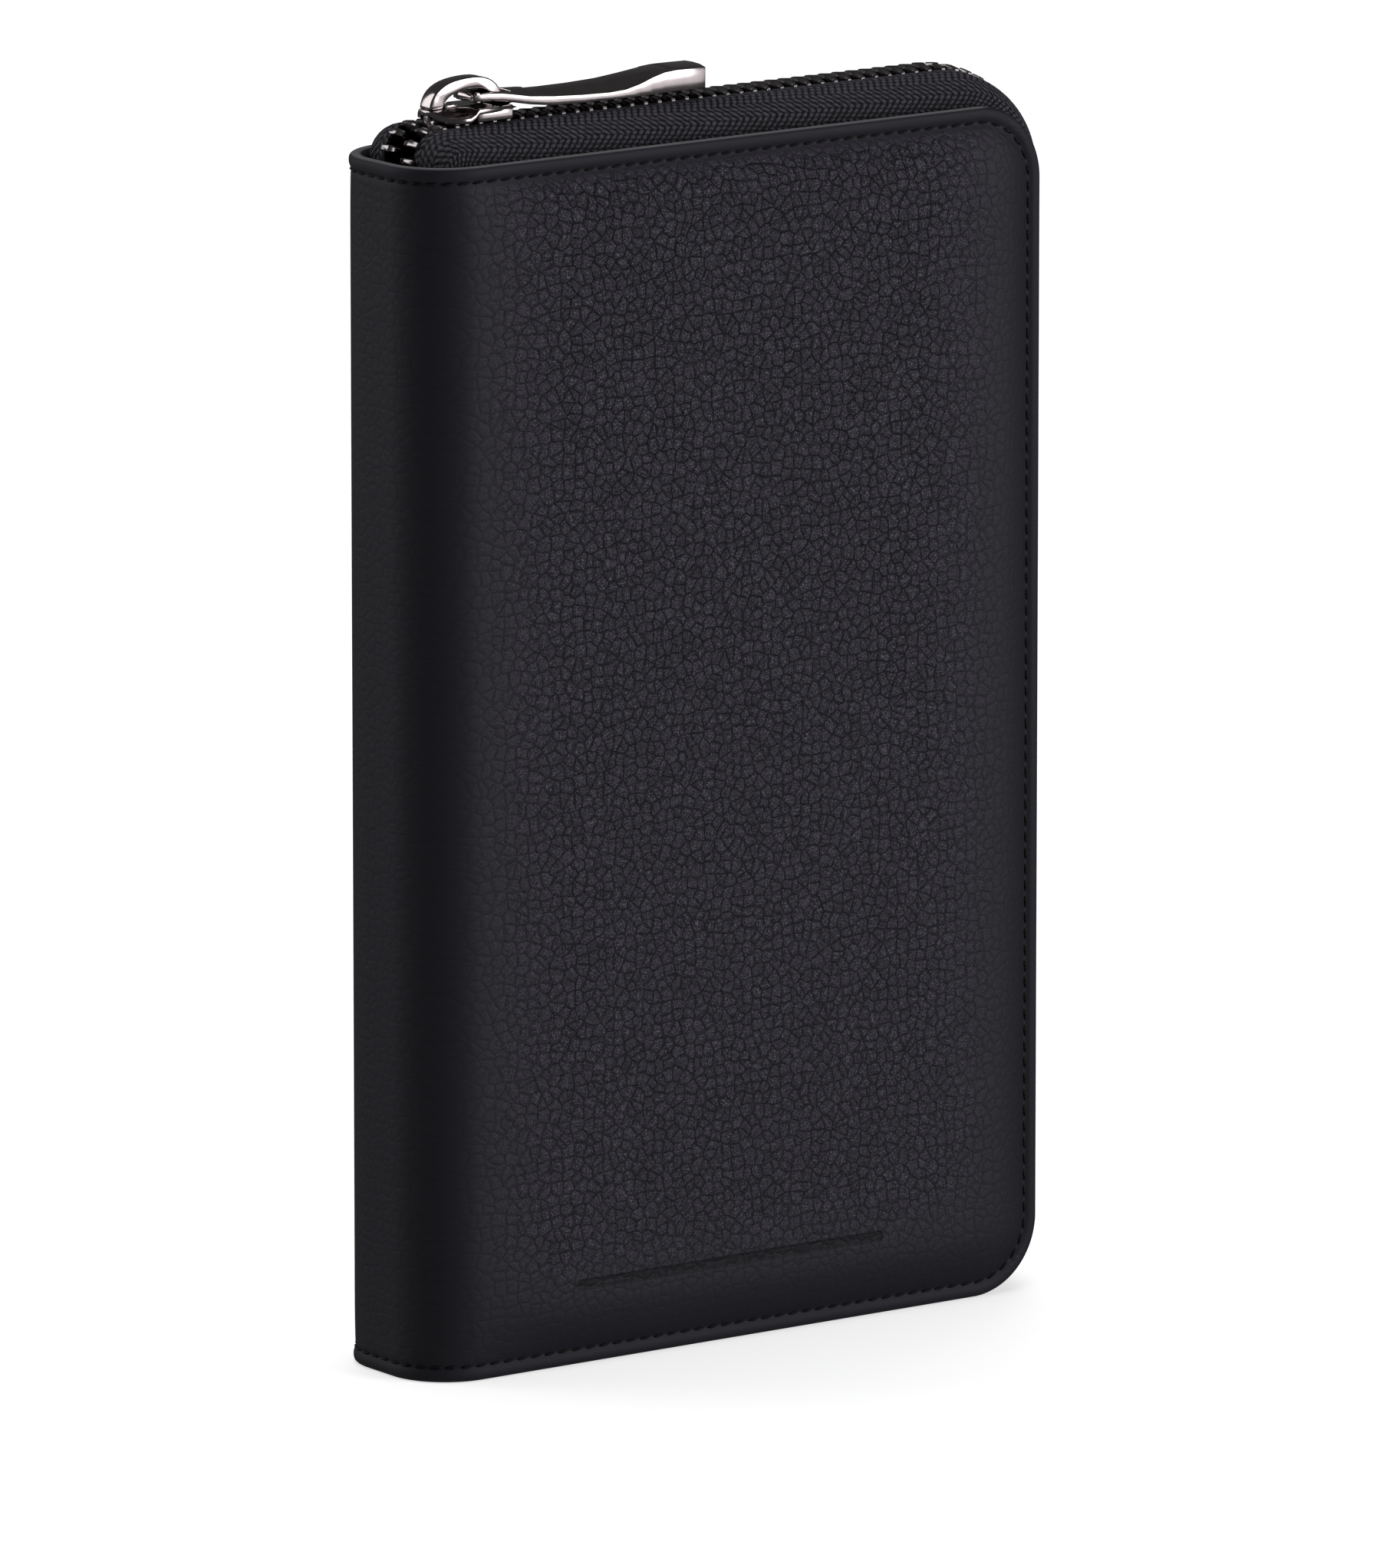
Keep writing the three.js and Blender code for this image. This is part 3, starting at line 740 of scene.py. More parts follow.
class ORGANIZER_OT_leather(bpy.types.Operator):
    """Make the outer leather: two halves that meet down the middle of the spine"""

    bl_idname = "organizer.leather"
    bl_label = "Outer Leather"

    # The edge in section: how far in from the cover's outline, and how deep, in millimetres.
    TURNED_IN = [(9, 3.6), (6.5, 3.5), (4, 3.45), (2.6, 3.4), (1.6, 3.25), (0.9, 2.9)]
    ROUND_BACK = [(0.4, 2.4), (0.1, 1.85), (0, 1.1), (0.06, 0.7), (0.22, 0.38), (0.46, 0.16)]
    ROLLED = [(0.8, 0.04), (1.2, 0), (1.7, 0.03)]
    GROOVE = [(2.15, 0.16), (2.5, 0.42), (2.8, 0.5), (3.1, 0.42), (3.6, 0.35)]
    SHOULDER = [(inset, 0.35) for inset in (4.2, 5.0, 6.0, 7.2, 8.6, 10.2, 12.0, 14.0)]
    EDGE = TURNED_IN + ROUND_BACK + ROLLED + GROOVE + SHOULDER

    def execute(self, context):
        sizes = context.scene.organizer_sizes
        edge = np.array(self.EDGE) * MM
        sheet_mm, height_mm = SHEET / MM, HEIGHT / MM
        columns = lines((0, 24, 0.9), (24, sheet_mm - 14, 1.3))
        rows = lines((15, height_mm - 14.5, 1.5))
        lift = pad_lift(sizes)
        for name, side in SIDES.items():
            piece = half_sheet(f"{name}_leather", side, edge, columns, rows, sizes.corner, lift)
            modify(piece, "SOLIDIFY", thickness=sizes.skin, offset=-1)
            smooth(piece, 50)
            stands_for = [f"{name}_cover_leather", f"{name}_cover_rim", "spine_leather"]
            settle(piece, "leather", ("spine", f"{name}_cover"), *stands_for)
        return {"FINISHED"}


def seam(inset, corner, pitch):
    """Places on the sheet at even steps round a cover, from the spine's middle back to it."""
    radius = corner - inset
    straight, side_run = SHEET - corner, HEIGHT - 2 * corner
    quarter = radius * math.pi / 2
    total = 2 * straight + side_run + 2 * quarter
    count = int(total / pitch)
    travelled = (np.arange(count) + 0.5) * total / count
    marks = np.cumsum([0, straight, quarter, side_run, quarter, straight])
    top = travelled
    turn_top = (travelled - marks[1]) / radius
    turn_low = (travelled - marks[3]) / radius
    stretch = np.searchsorted(marks[1:], travelled)
    along = np.choose(stretch, [
        top,
        straight + radius * np.sin(turn_top),
        SHEET - inset + 0 * top,
        straight + radius * np.cos(turn_low),
        marks[5] - travelled,
    ])
    up = np.choose(stretch, [
        HEIGHT - inset + 0 * top,
        HEIGHT - corner + radius * np.cos(turn_top),
        HEIGHT - corner - (travelled - marks[2]),
        corner - radius * np.sin(turn_low),
        inset + 0 * top,
    ])
    return along, up


def frames_on_sheet(along, up, depth, side, lean=0.0):
    """A frame at each place: X along the seam, Z out of the sheet."""
    places = wrap(along, up, depth, side)
    ahead = np.gradient(places, axis=0)
    outer = wrap(along, up, depth - 1 * MM, side)
    frames = []
    for place, forward, out in zip(places, ahead, outer - places):
        z = Vector(out).normalized()
        x = (Vector(forward) - z * z.dot(Vector(forward))).normalized()
        basis = Matrix((x, z.cross(x), z)).transposed() @ Matrix.Rotation(lean, 3, "Z")
        frames.append(Matrix.Translation(place) @ basis.to_4x4())
    return frames


def stitch_template(length_mm, width_mm):
    """One stitch: a plump thread that dives into the leather at both ends."""
    stitch = primitive(
        "stitch", bpy.ops.mesh.primitive_uv_sphere_add, segments=8, ring_count=6, radius=1
    )
    rise, across, along = points_of(stitch).T
    dive = 0.35 * width_mm * np.abs(along) ** 3
    half_width = width_mm / 2
    points = [along * length_mm / 2, across * half_width, rise * half_width - dive]
    place_points(stitch, np.stack(points, axis=1) * MM)
    return stitch


class ORGANIZER_OT_stitching(bpy.types.Operator):
    """Make the lockstitch seam that runs round each cover and over the spine"""

    bl_idname = "organizer.stitching"
    bl_label = "Cover Stitching"

    def execute(self, context):
        sizes = context.scene.organizer_sizes
        along, up = seam(sizes.stitch_inset, sizes.corner, sizes.stitch_pitch)
        for name, side in SIDES.items():
            frames = frames_on_sheet(along, up, 0.40 * MM, side, math.radians(5))
            piece = copies(f"{name}_stitching", stitch_template(2.45, 0.55), frames)
            smooth(piece, 80)
            nodes = [f"{name}_cover_stitching"]
            nodes += ["spine_head_stitching", "spine_tail_stitching"]
            settle(piece, "thread", ("spine", f"{name}_cover"), *nodes)
        return {"FINISHED"}


class ORGANIZER_OT_linings(bpy.types.Operator):
    """Make the woven lining of the covers and the spine, in two halves"""

    bl_idname = "organizer.linings"
    bl_label = "Linings"

    def execute(self, context):
        sizes = context.scene.organizer_sizes
        edge = np.array([(d, 2.3) for d in (2.4, 2.7, 3.4, 4.6, 6.4, 8.6, 11, 14)]) * MM
        columns = lines((0, 26, 1.3), (26, SHEET / MM - 14, 4))
        rows = lines((18, HEIGHT / MM - 15, 5))

        def deepen(along, _):
            return 2.1 * MM * ease((along - 12 * MM) / (14 * MM))

        for name, side in SIDES.items():
            piece = half_sheet(f"{name}_lining", side, edge, columns, rows, sizes.corner, deepen)
            modify(piece, "SOLIDIFY", thickness=0.55 * MM, offset=-1)
            smooth(piece, 50)
            nodes = [f"{name}_cover_lining", "spine_lining"]
            settle(piece, "lining", ("spine", f"{name}_cover"), *nodes)
        return {"FINISHED"}


def round_ended(x0, x1, z0, z1, radius, steps=6):
    """An outline with its corners on the +X side rounded."""
    turns = np.linspace(0, math.pi / 2, steps)
    low = [(x1 - radius + radius * math.sin(t), z0 + radius - radius * math.cos(t)) for t in turns]
    high = [(x1 - radius + radius * math.cos(t), z1 - radius + radius * math.sin(t)) for t in turns]
    return [(x0, z0), *low, *high, (x0, z1)]


class ORGANIZER_OT_padding(bpy.types.Operator):
    """Make the foam under each cover's leather, and finish the boards and the stiffener"""

    bl_idname = "organizer.padding"
    bl_label = "Padding and Boards"

    def execute(self, context):
        for name, side in SIDES.items():
            low, high = (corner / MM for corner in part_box(f"{name}_cover_padding"))
            back = min(abs(low.y), abs(high.y)) * side
            outline = round_ended(low.x, high.x, low.z, high.z, 10)
            piece = panel(f"{name}_padding", outline, back, back + side * 0.9)
            for inset, lift in ((4.5, 1.0), (4.5, 0.6), (6, 0.3)):
                with editing(piece):
                    outermost = max(abs(v.co.y) for v in piece.data.vertices) - 0.01 * MM
                    select("faces", lambda face: abs(face.calc_center_median().y) > outermost)
                    bpy.ops.mesh.inset(thickness=inset * MM, depth=lift * MM)
            smooth(piece, 50)
            settle(piece, "foam", f"{name}_cover", f"{name}_cover_padding")
            dress(frame["nodes"][f"{name}_cover_board"], "board", context.scene.organizer_colours)
        dress(frame["nodes"]["spine_stiffener"], "board", context.scene.organizer_colours)
        return {"FINISHED"}


# ---- Main zip ----


def chain_path(sizes, step, start=0.0):
    """The zip's chain at even steps: places, the way out, where the tape is sewn, the parting."""
    corner, top_out = sizes.corner, sizes.chain_out
    side_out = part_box("front_zip_teeth")[1].x - ZIP_SIDE_X - 1.6 * MM
    low_out, leg_x, bend = -2.3 * MM, -65 * MM, 5 * MM
    fan_x = BEND_END_X + 1.2 * MM
    sewn_in = sizes.tape_width
    places, outward, sewn = [], [], []

    def add(x, z, angle, root=None):
        x, z, angle = np.broadcast_arrays(np.asarray(x, float), z, angle)
        out = np.stack([np.cos(angle), np.sin(angle)], -1)
        places.append(np.stack([x, z], -1))
        outward.append(out)
        sewn.append(root(x, z, out) if callable(root) else np.broadcast_to(root, out.shape))

    def arc(centre, radii, angles, root):
        share = np.linspace(0, 1, 24)
        angle = np.radians(angles[0] + share * (angles[1] - angles[0]))
        radius = radii[0] + share * (radii[1] - radii[0])
        x, z = centre[0] + radius * np.cos(angle), centre[1] + radius * np.sin(angle)
        add(x, z, angle, root)

    def corner_root(centre):
        return lambda x, z, out: np.array(centre) + out * (corner - sewn_in)

    def run_root(z_sewn):
        return lambda x, z, out: np.stack([np.maximum(x, fan_x), z_sewn + 0 * x], -1)

    right = ZIP_SIDE_X - corner
    top_z, low_z = HEIGHT + top_out, -low_out
    top_root, low_root = (fan_x, HEIGHT - sewn_in), (fan_x, sewn_in)
    add(leg_x, np.linspace(204 * MM, top_z - bend, 12), math.pi, top_root)
    arc((leg_x + bend, top_z - bend), (bend, bend), (180, 90), top_root)
    add(np.linspace(leg_x + bend, right, 60), top_z, math.pi / 2, run_root(HEIGHT - sewn_in))
    top_centre, low_centre = (right, HEIGHT - corner), (right, corner)
    arc(top_centre, (corner + top_out, corner + side_out), (90, 0), corner_root(top_centre))
    add(
        ZIP_SIDE_X + side_out,
        np.linspace(HEIGHT - corner, corner, 60),
        0.0,
        lambda x, z, out: np.stack([ZIP_SIDE_X - sewn_in + 0 * x, z], -1),
    )
    arc(low_centre, (corner + side_out, corner + low_out), (0, -90), corner_root(low_centre))
    add(np.linspace(right, leg_x + bend, 60), low_z, -math.pi / 2, run_root(sewn_in))
    arc((leg_x + bend, low_z + bend), (bend, bend), (-90, -180), low_root)
    add(leg_x, np.linspace(low_z + bend, 20 * MM, 8), -math.pi, low_root)

    places, outward, sewn = map(np.concatenate, (places, outward, sewn))
    travelled = np.concatenate([[0], np.cumsum(np.hypot(*np.diff(places, axis=0).T))])
    at = np.arange(start, travelled[-1], step)

    def sampled(rows):
        return np.stack([np.interp(at, travelled, column) for column in rows.T], -1)

    places, outward, sewn = sampled(places), sampled(outward), sampled(sewn)
    outward /= np.linalg.norm(outward, axis=1)[:, None]
    parting = 1.6 * MM * ease((-53 * MM - places[:, 0]) / (4 * MM))
    return at, places, outward, sewn, parting


class ORGANIZER_OT_zip_tapes(bpy.types.Operator):
    """Make the two woven tapes that arch up from the covers to the chain"""

    bl_idname = "organizer.zip_tapes"
    bl_label = "Zip Tapes"

    def execute(self, context):
        sizes = context.scene.organizer_sizes
        at, chain, _, sewn, parting = chain_path(sizes, 1.2 * MM)
        band, edge_y, chain_y = 0.57, 12.1 * MM, 3.0 * MM
        turns = np.linspace(0, math.pi / 2, 15)
        arch = band + (1 - band) * np.sin(turns) ** 0.95
        share = np.concatenate([np.linspace(0, band, 5)[:-1], arch])
        spread = np.concatenate([np.ones(4), np.cos(turns) ** 0.85])
        for name, side in SIDES.items():
            piece = primitive(
                f"{name}_tape",
                bpy.ops.mesh.primitive_grid_add,
                x_subdivisions=len(at) - 1,
                y_subdivisions=len(share) - 1,
                size=1,
            )
            grid = points_of(piece)
            i = np.rint((grid[:, 0] + 0.5) * (len(at) - 1)).astype(int)
            j = np.rint((grid[:, 1] + 0.5) * (len(share) - 1)).astype(int)
            flat = sewn[i] + (chain[i] - sewn[i]) * share[j][:, None]
            inner = chain_y + parting[i]
            y = inner + (edge_y - inner) * spread[j]
            place_points(piece, np.stack([flat[:, 0], side * y, flat[:, 1]], -1))
            self.lay_out(piece, at[i], np.hypot(share[j] * 12 * MM, (1 - spread[j]) * 9 * MM))
            if side > 0:
                flip(piece)
            modify(piece, "SOLIDIFY", thickness=0.6 * MM, offset=0)
            smooth(piece, 60)
            settle(piece, "tape", f"{name}_cover", f"{name}_zip_tape")
        return {"FINISHED"}

    def lay_out(self, piece, along, across):
        """Gives each corner its place on the flat tape, in metres, as its UV."""
        uv = piece.data.uv_layers.get("UVMap") or piece.data.uv_layers.new(name="UVMap")
        corners = np.empty(len(piece.data.loops), int)
        piece.data.loops.foreach_get("vertex_index", corners)
        uv.data.foreach_set("uv", np.stack([along[corners], across[corners]], -1).ravel())


def tooth_template(wide, deep, thick, head):
    """One tooth, in millimetres: a clasp on the tape's edge with a narrower head."""
    tooth = block("tooth", (-wide / 2, wide / 2), (0.9, deep), (-thick / 2, thick / 2))
    with editing(tooth):
        select("faces", lambda face: face.normal.y < -0.9)
        bpy.ops.mesh.extrude_region_move(TRANSFORM_OT_translate={"value": (0, -0.35 * MM, 0)})
        bpy.ops.transform.resize(value=(0.92, 1, 0.72))
        shift = (0, -(0.55 + head) * MM, 0)
        bpy.ops.mesh.extrude_region_move(TRANSFORM_OT_translate={"value": shift})
        bpy.ops.transform.resize(value=(0.8, 1, 0.86))
        select("faces", lambda face: face.normal.y > 0.9)
        bpy.ops.transform.resize(value=(0.85, 1, 0.7))
    soften(tooth, 0.22 * MM, 1, 30)
    return tooth


def chain_frames(chain, outward, parting, side):
    """A frame at each tooth: X along the chain, Y from its middle to the tape, Z out."""
    frames = []
    for (x, z), (out_x, out_z), gap in zip(chain, outward, parting):
        out = Vector((out_x, 0, out_z))
        away = Vector((0, side, 0))
        basis = Matrix((away.cross(out), away, out)).transposed()
        frames.append(Matrix.Translation((x, side * gap, z)) @ basis.to_4x4())
    return frames


class ORGANIZER_OT_zip_teeth(bpy.types.Operator):
    """Make the main zip's teeth, every other one from each side"""

    bl_idname = "organizer.zip_teeth"
    bl_label = "Zip Teeth"

    def execute(self, context):
        sizes = context.scene.organizer_sizes
        pitch = sizes.tooth_pitch
        for name, side in SIDES.items():
            start = pitch / 4 if side < 0 else pitch * 3 / 4
            _, chain, outward, _, parting = chain_path(sizes, pitch, start)
            frames = chain_frames(chain, outward, parting, side)
            piece = copies(f"{name}_teeth", tooth_template(1.36, 3.6, 2.3, 0.75), frames)
            smooth(piece, 30)
            settle(piece, "teeth", f"{name}_cover", f"{name}_zip_teeth")
        return {"FINISHED"}


# ---- Slider and puller ----


def bezier(start, first, second, end, steps):
    t = np.linspace(0, 1, steps)[:, None]
    shares = ((1 - t) ** 3, 3 * (1 - t) ** 2 * t, 3 * (1 - t) * t**2, t**3)
    return sum(share * np.array(place) for share, place in zip(shares, (start, first, second, end)))


class ORGANIZER_OT_slider(bpy.types.Operator):
    """Make the main slider: two wings with lips, the post, the arched bridge and its spring"""

    bl_idname = "organizer.slider"
    bl_label = "Main Slider"

    # Half of a wing's outline, in millimetres: from its back edge, and from its middle line.
    WING = [
        (0.1, 1.7), (1.0, 3.2), (2.6, 4.7), (4.6, 5.35), (6.6, 5.5),
        (7.9, 5.35), (8.6, 5.2), (15.3, 5.0), (16.5, 4.3),
    ]  # fmt: skip
    WING_T = 1.1
    CHANNEL_Z = (224.3, 225.7)  # the gap between the lips, for the tapes
    DROOP = 1.35  # how far the upper wing bends down at its back corners

    def execute(self, context):
        low, high = (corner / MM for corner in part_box("slider_body"))
        outline = [(low.x + x, -y) for x, y in self.WING]
        outline += [(low.x + x, y) for x, y in self.WING[::-1]]
        body = self.upper_wing(outline, low.x, high.z)
        lower = panel("lower_wing", outline, low.z, low.z + self.WING_T, "XY")
        post_x = (low.x + 0.5, low.x + 3.5)
        parts = [body, lower, block("post", post_x, (-0.9, 0.9), (low.z + 0.3, high.z - 0.3))]
        lips_x = (high.x - 8.2, high.x - 0.5)
        for side in (-1, 1):
            across = (side * 4.15, side * 5.05)
            parts.append(block("upper_lip", lips_x, across, (self.CHANNEL_Z[1], high.z - 0.4)))
            parts.append(block("lower_lip", lips_x, across, (low.z + 0.4, self.CHANNEL_Z[0])))
        for part in parts:
            soften(part, 0.28 * MM, 3)
        body = join("slider_body_metal", *parts)
        smooth(body, 35)
        settle(body, "metal", "main_slider", "slider_body")

        self.bridge(high.z)
        spring_z = (high.z + 0.05, high.z + 0.45)
        spring = block("lock_spring_metal", (-56.2, -53.4), (-1.2, 1.2), spring_z)
        soften(spring, 0.12 * MM, 2)
        smooth(spring)
        settle(spring, "metal", "main_slider", "slider_lock_spring")
        return {"FINISHED"}

    def upper_wing(self, outline, back_x, top):
        wing = panel("slider_body_metal", outline, top - self.WING_T, top, "XY")
        with editing(wing):
            for inset in (1.0, 1.2, 1.2):
                select("faces", lambda face: abs(face.normal.z) > 0.9 and len(face.verts) > 8)
                bpy.ops.mesh.inset(thickness=inset * MM, depth=0)
        points = points_of(wing)
        x, y = points[:, 0] / MM, np.abs(points[:, 1]) / MM
        points[:, 2] -= self.DROOP * MM * ease((y - 1.4) / 3) * ease((back_x + 8.7 - x) / 1.5)
        place_points(wing, points)
        return wing

    def bridge(self, deck):
        low, high = (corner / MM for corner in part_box("slider_bridge"))
        foot, crest, middle = deck + 0.02, high.z, low.x + 9.5
        under = crest - 2.2
        back, front = low.x, high.x
        curves = (
            ((back, foot), (back + 0.3, crest - 1.6), (back + 3.5, crest), (middle, crest), 12),
            ((middle, crest), (front - 2.4, crest), (front - 0.2, crest - 1.8), (front, foot), 10),
            (
                (front - 2.2, foot), (front - 2.3, crest - 2.8),
                (front - 3.9, under), (middle, under), 10,
            ),
            (
                (middle, under), (middle - 3.4, under),
                (back + 3.3, crest - 2.9), (back + 2.9, foot), 12,
            ),
        )  # fmt: skip
        outer_back, outer_front, inner_front, inner_back = (bezier(*curve) for curve in curves)
        outline = np.vstack([outer_back[:-1], outer_front, inner_front[:-1], inner_back])
        bridge = panel("slider_bridge_metal", outline, low.y, high.y)
        soften(bridge, 0.28 * MM, 3, 50)
        smooth(bridge, 35)
        settle(bridge, "metal", "main_slider", "slider_bridge")


class ORGANIZER_OT_puller(bpy.types.Operator):
    """Make the puller: a forked bar with a dished top that thickens into a block"""

    bl_idname = "organizer.puller"
    bl_label = "Main Puller"

    PIVOT = Vector((-50.2, 0, 229.7))
    # Along the puller, in millimetres: reach from the pin, underside, edge, crown, half width.
    STATIONS = [
        (-1.1, -0.55, 0.70, 0.0, 3.25), (2.0, -0.75, 0.75, 0.0, 3.30),
        (5.0, -1.05, 0.50, 0.20, 3.40), (7.6, -1.45, 0.05, 0.65, 3.45),
        (11.0, -2.10, -0.60, 1.25, 3.55), (16.0, -2.75, -1.10, 1.75, 3.65),
        (22.0, -2.90, -1.45, 2.20, 3.80), (28.0, -2.90, -1.60, 2.60, 3.95),
        (31.5, -2.90, -1.40, 2.75, 4.0), (34.5, -2.90, -0.70, 2.30, 4.0),
        (37.5, -2.85, 0.35, 1.45, 4.0), (40.0, -2.80, 1.00, 0.82, 4.0),
        (42.5, -2.75, 1.20, 0.50, 4.0), (49.0, -2.70, 1.15, 0.45, 4.0),
    ]  # fmt: skip

    def execute(self, context):
        pivot = self.PIVOT
        bar = primitive(
            "zip_puller_metal",
            bpy.ops.mesh.primitive_circle_add,
            vertices=8,
            fill_type="NGON",
            radius=1,
            rotation=(0, math.pi / 2, 0),
        )
        with editing(bar):
            bpy.ops.mesh.select_all(action="SELECT")
            for _ in self.STATIONS[1:]:
                bpy.ops.mesh.extrude_region_move(TRANSFORM_OT_translate={"value": (1, 0, 0)})
        points = points_of(bar)
        index = np.rint(points[:, 0] - points[:, 0].min()).astype(int)
        place_points(bar, self.sections(index, points[:, 1:], pivot))
        recalculate_normals(bar)
        with editing(bar):
            dished = (pivot.x + 9.5) * MM, (pivot.x + 41.5) * MM

            def on_top(face):
                centre = face.calc_center_median()
                return face.normal.z > 0.5 and dished[0] < centre.x < dished[1]

            select("faces", on_top)
            bpy.ops.mesh.inset(thickness=0.45 * MM, depth=0)
            bpy.ops.mesh.inset(thickness=0.3 * MM, depth=-0.3 * MM)
        slot = block("slot", (pivot.x - 3, pivot.x + 7.6), (-2.1, 2.1), (225, 235))
        combine(bar, slot, "DIFFERENCE")
        soften(bar, 0.2 * MM, 3, 28)
        pin = primitive(
            "pin",
            bpy.ops.mesh.primitive_cylinder_add,
            vertices=24,
            radius=0.95 * MM,
            depth=6.4 * MM,
            location=pivot * MM,
            rotation=(math.pi / 2, 0, 0),
        )
        soften(pin, 0.2 * MM, 2)
        combine(bar, pin, "UNION")
        smooth(bar, 32)
        settle(bar, "metal", "main_puller", "zip_puller")
        return {"FINISHED"}

    def sections(self, index, around, pivot):
        """Puts the eight corners of each section where its station has them."""
        reach, under, edge, crown, half = np.array(self.STATIONS)[index].T
        eighth = np.rint(np.arctan2(around[:, 1], around[:, 0]) / (math.pi / 4)).astype(int) % 8
        share = np.choose(eighth, [1, 0.55, 0, -0.55, -1, -1, 0, 1])
        rise = np.choose(eighth, [0, 0.8, 1, 0.8, 0, 0, 0, 0])
        z = np.where(eighth >= 5, under, edge + rise * crown)
        return np.stack([pivot.x + reach, share * half, pivot.z + z], -1) * MM


# ---- Inside: pockets, card slots, pen loop and coin compartment ----


def tidy_panel(name, node, corner=2.0, bevel=0.25):
    """A leather panel the size of its node, with rounded corners and softened edges."""
    low, high = (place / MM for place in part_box(node))
    left, right = low.x + corner, high.x - corner
    bottom, top = low.z + corner, high.z - corner
    centres = ((right, bottom), (right, top), (left, top), (left, bottom))
    outline = [
        (x + corner * math.cos(turn), z + corner * math.sin(turn))
        for quarter, (x, z) in enumerate(centres)
        for turn in np.radians(90 * (quarter - 1) + np.linspace(0, 90, 5))
    ]
    piece = panel(name, outline, low.y, high.y)
    soften(piece, bevel * MM, 2)
    smooth(piece, 40)
    return piece


def flat_seam(name, path, y, out, pitch=3.0):
    """A row of stitches along a path in X and Z, in millimetres, standing out of a flat face."""
    path = np.array(path, float)
    travelled = np.concatenate([[0], np.cumsum(np.hypot(*np.diff(path, axis=0).T))])
    count = int(travelled[-1] / pitch)
    at = (np.arange(count) + 0.5) * travelled[-1] / count

    def places(at):
        return np.stack([np.interp(at, travelled, column) for column in path.T], -1)

    normal = Vector((0, out, 0))
    slant = Matrix.Rotation(0.12, 3, "Z")
    frames = []
    for (x, z), (ahead_x, ahead_z) in zip(places(at), places(at + 0.1) - places(at)):
        forward = Vector((ahead_x, 0, ahead_z)).normalized()
        basis = Matrix((forward, normal.cross(forward), normal)).transposed() @ slant
        frames.append(Matrix.Translation(Vector((x, y, z)) * MM) @ basis.to_4x4())
    piece = copies(name, stitch_template(2.3, 0.5), frames)
    smooth(piece, 80)
    return piece


def seam_corners(low, high, inset=2):
    """The corners of a seam just inside a panel's edges: down one side, along, and up."""
    x0, x1, z0, z1 = low.x + inset, high.x - inset, low.z + inset, high.z - inset
    return [(x0, z1), (x0, z0), (x1, z0), (x1, z1)]


class ORGANIZER_OT_pockets(bpy.types.Operator):
    """Make the slip pockets, the passport pocket and the card slots, with their stitching"""

    bl_idname = "organizer.pockets"
    bl_label = "Pockets and Card Slots"

    def execute(self, context):
        pockets = ["front_document_pocket", "front_passport_pocket", "rear_slip_pocket"]
        slots = [f"card_slot_{number}" for number in range(1, 7)]
        for node in pockets + slots:
            side = "front" if node.startswith("front") else "rear"
            body = f"{side}_cover"
            corner, bevel = (3.0, 0.25) if node in pockets else (2.0, 0.12)
            piece = tidy_panel(f"{node}_leather", node, corner, bevel)
            settle(piece, "calf", body, node)
            low, high = (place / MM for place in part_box(node))
            corners = seam_corners(low, high)
            path = [*corners, corners[0]] if node in pockets else [corners[0], corners[-1]]
            face = high.y if side == "front" else low.y
            row = flat_seam(f"{node}_stitching", path, face, -SIDES[side])
            settle(row, "thread", body)
        return {"FINISHED"}


class ORGANIZER_OT_pen_loop(bpy.types.Operator):
    """Make the ribbed elastic pen loop, sewn to the spine's lining"""

    bl_idname = "organizer.pen_loop"
    bl_label = "Pen Loop"

    def execute(self, context):
        low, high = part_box("pen_loop")
        radius = (high.y - low.y) / 2
        centre = Vector((high.x - radius, (low.y + high.y) / 2, (low.z + high.z) / 2))
        loop = primitive(
            "pen_loop_elastic",
            bpy.ops.mesh.primitive_cylinder_add,
            vertices=48,
            radius=radius,
            depth=high.z - low.z,
            end_fill_type="NOTHING",
            location=centre,
        )
        modify(loop, "SOLIDIFY", thickness=0.5 * MM, offset=-1)
        soften(loop, 0.12 * MM, 2)
        ends = (low.x / MM, (centre.x - radius) / MM + 0.3)
        across = (centre.y / MM - 0.3, centre.y / MM + 0.3)
        tab = block("tab", ends, across, (low.z / MM, high.z / MM))
        soften(tab, 0.12 * MM, 2)
        combine(loop, tab, "UNION")
        smooth(loop, 40)
        settle(loop, "elastic", "spine", "pen_loop")
        return {"FINISHED"}


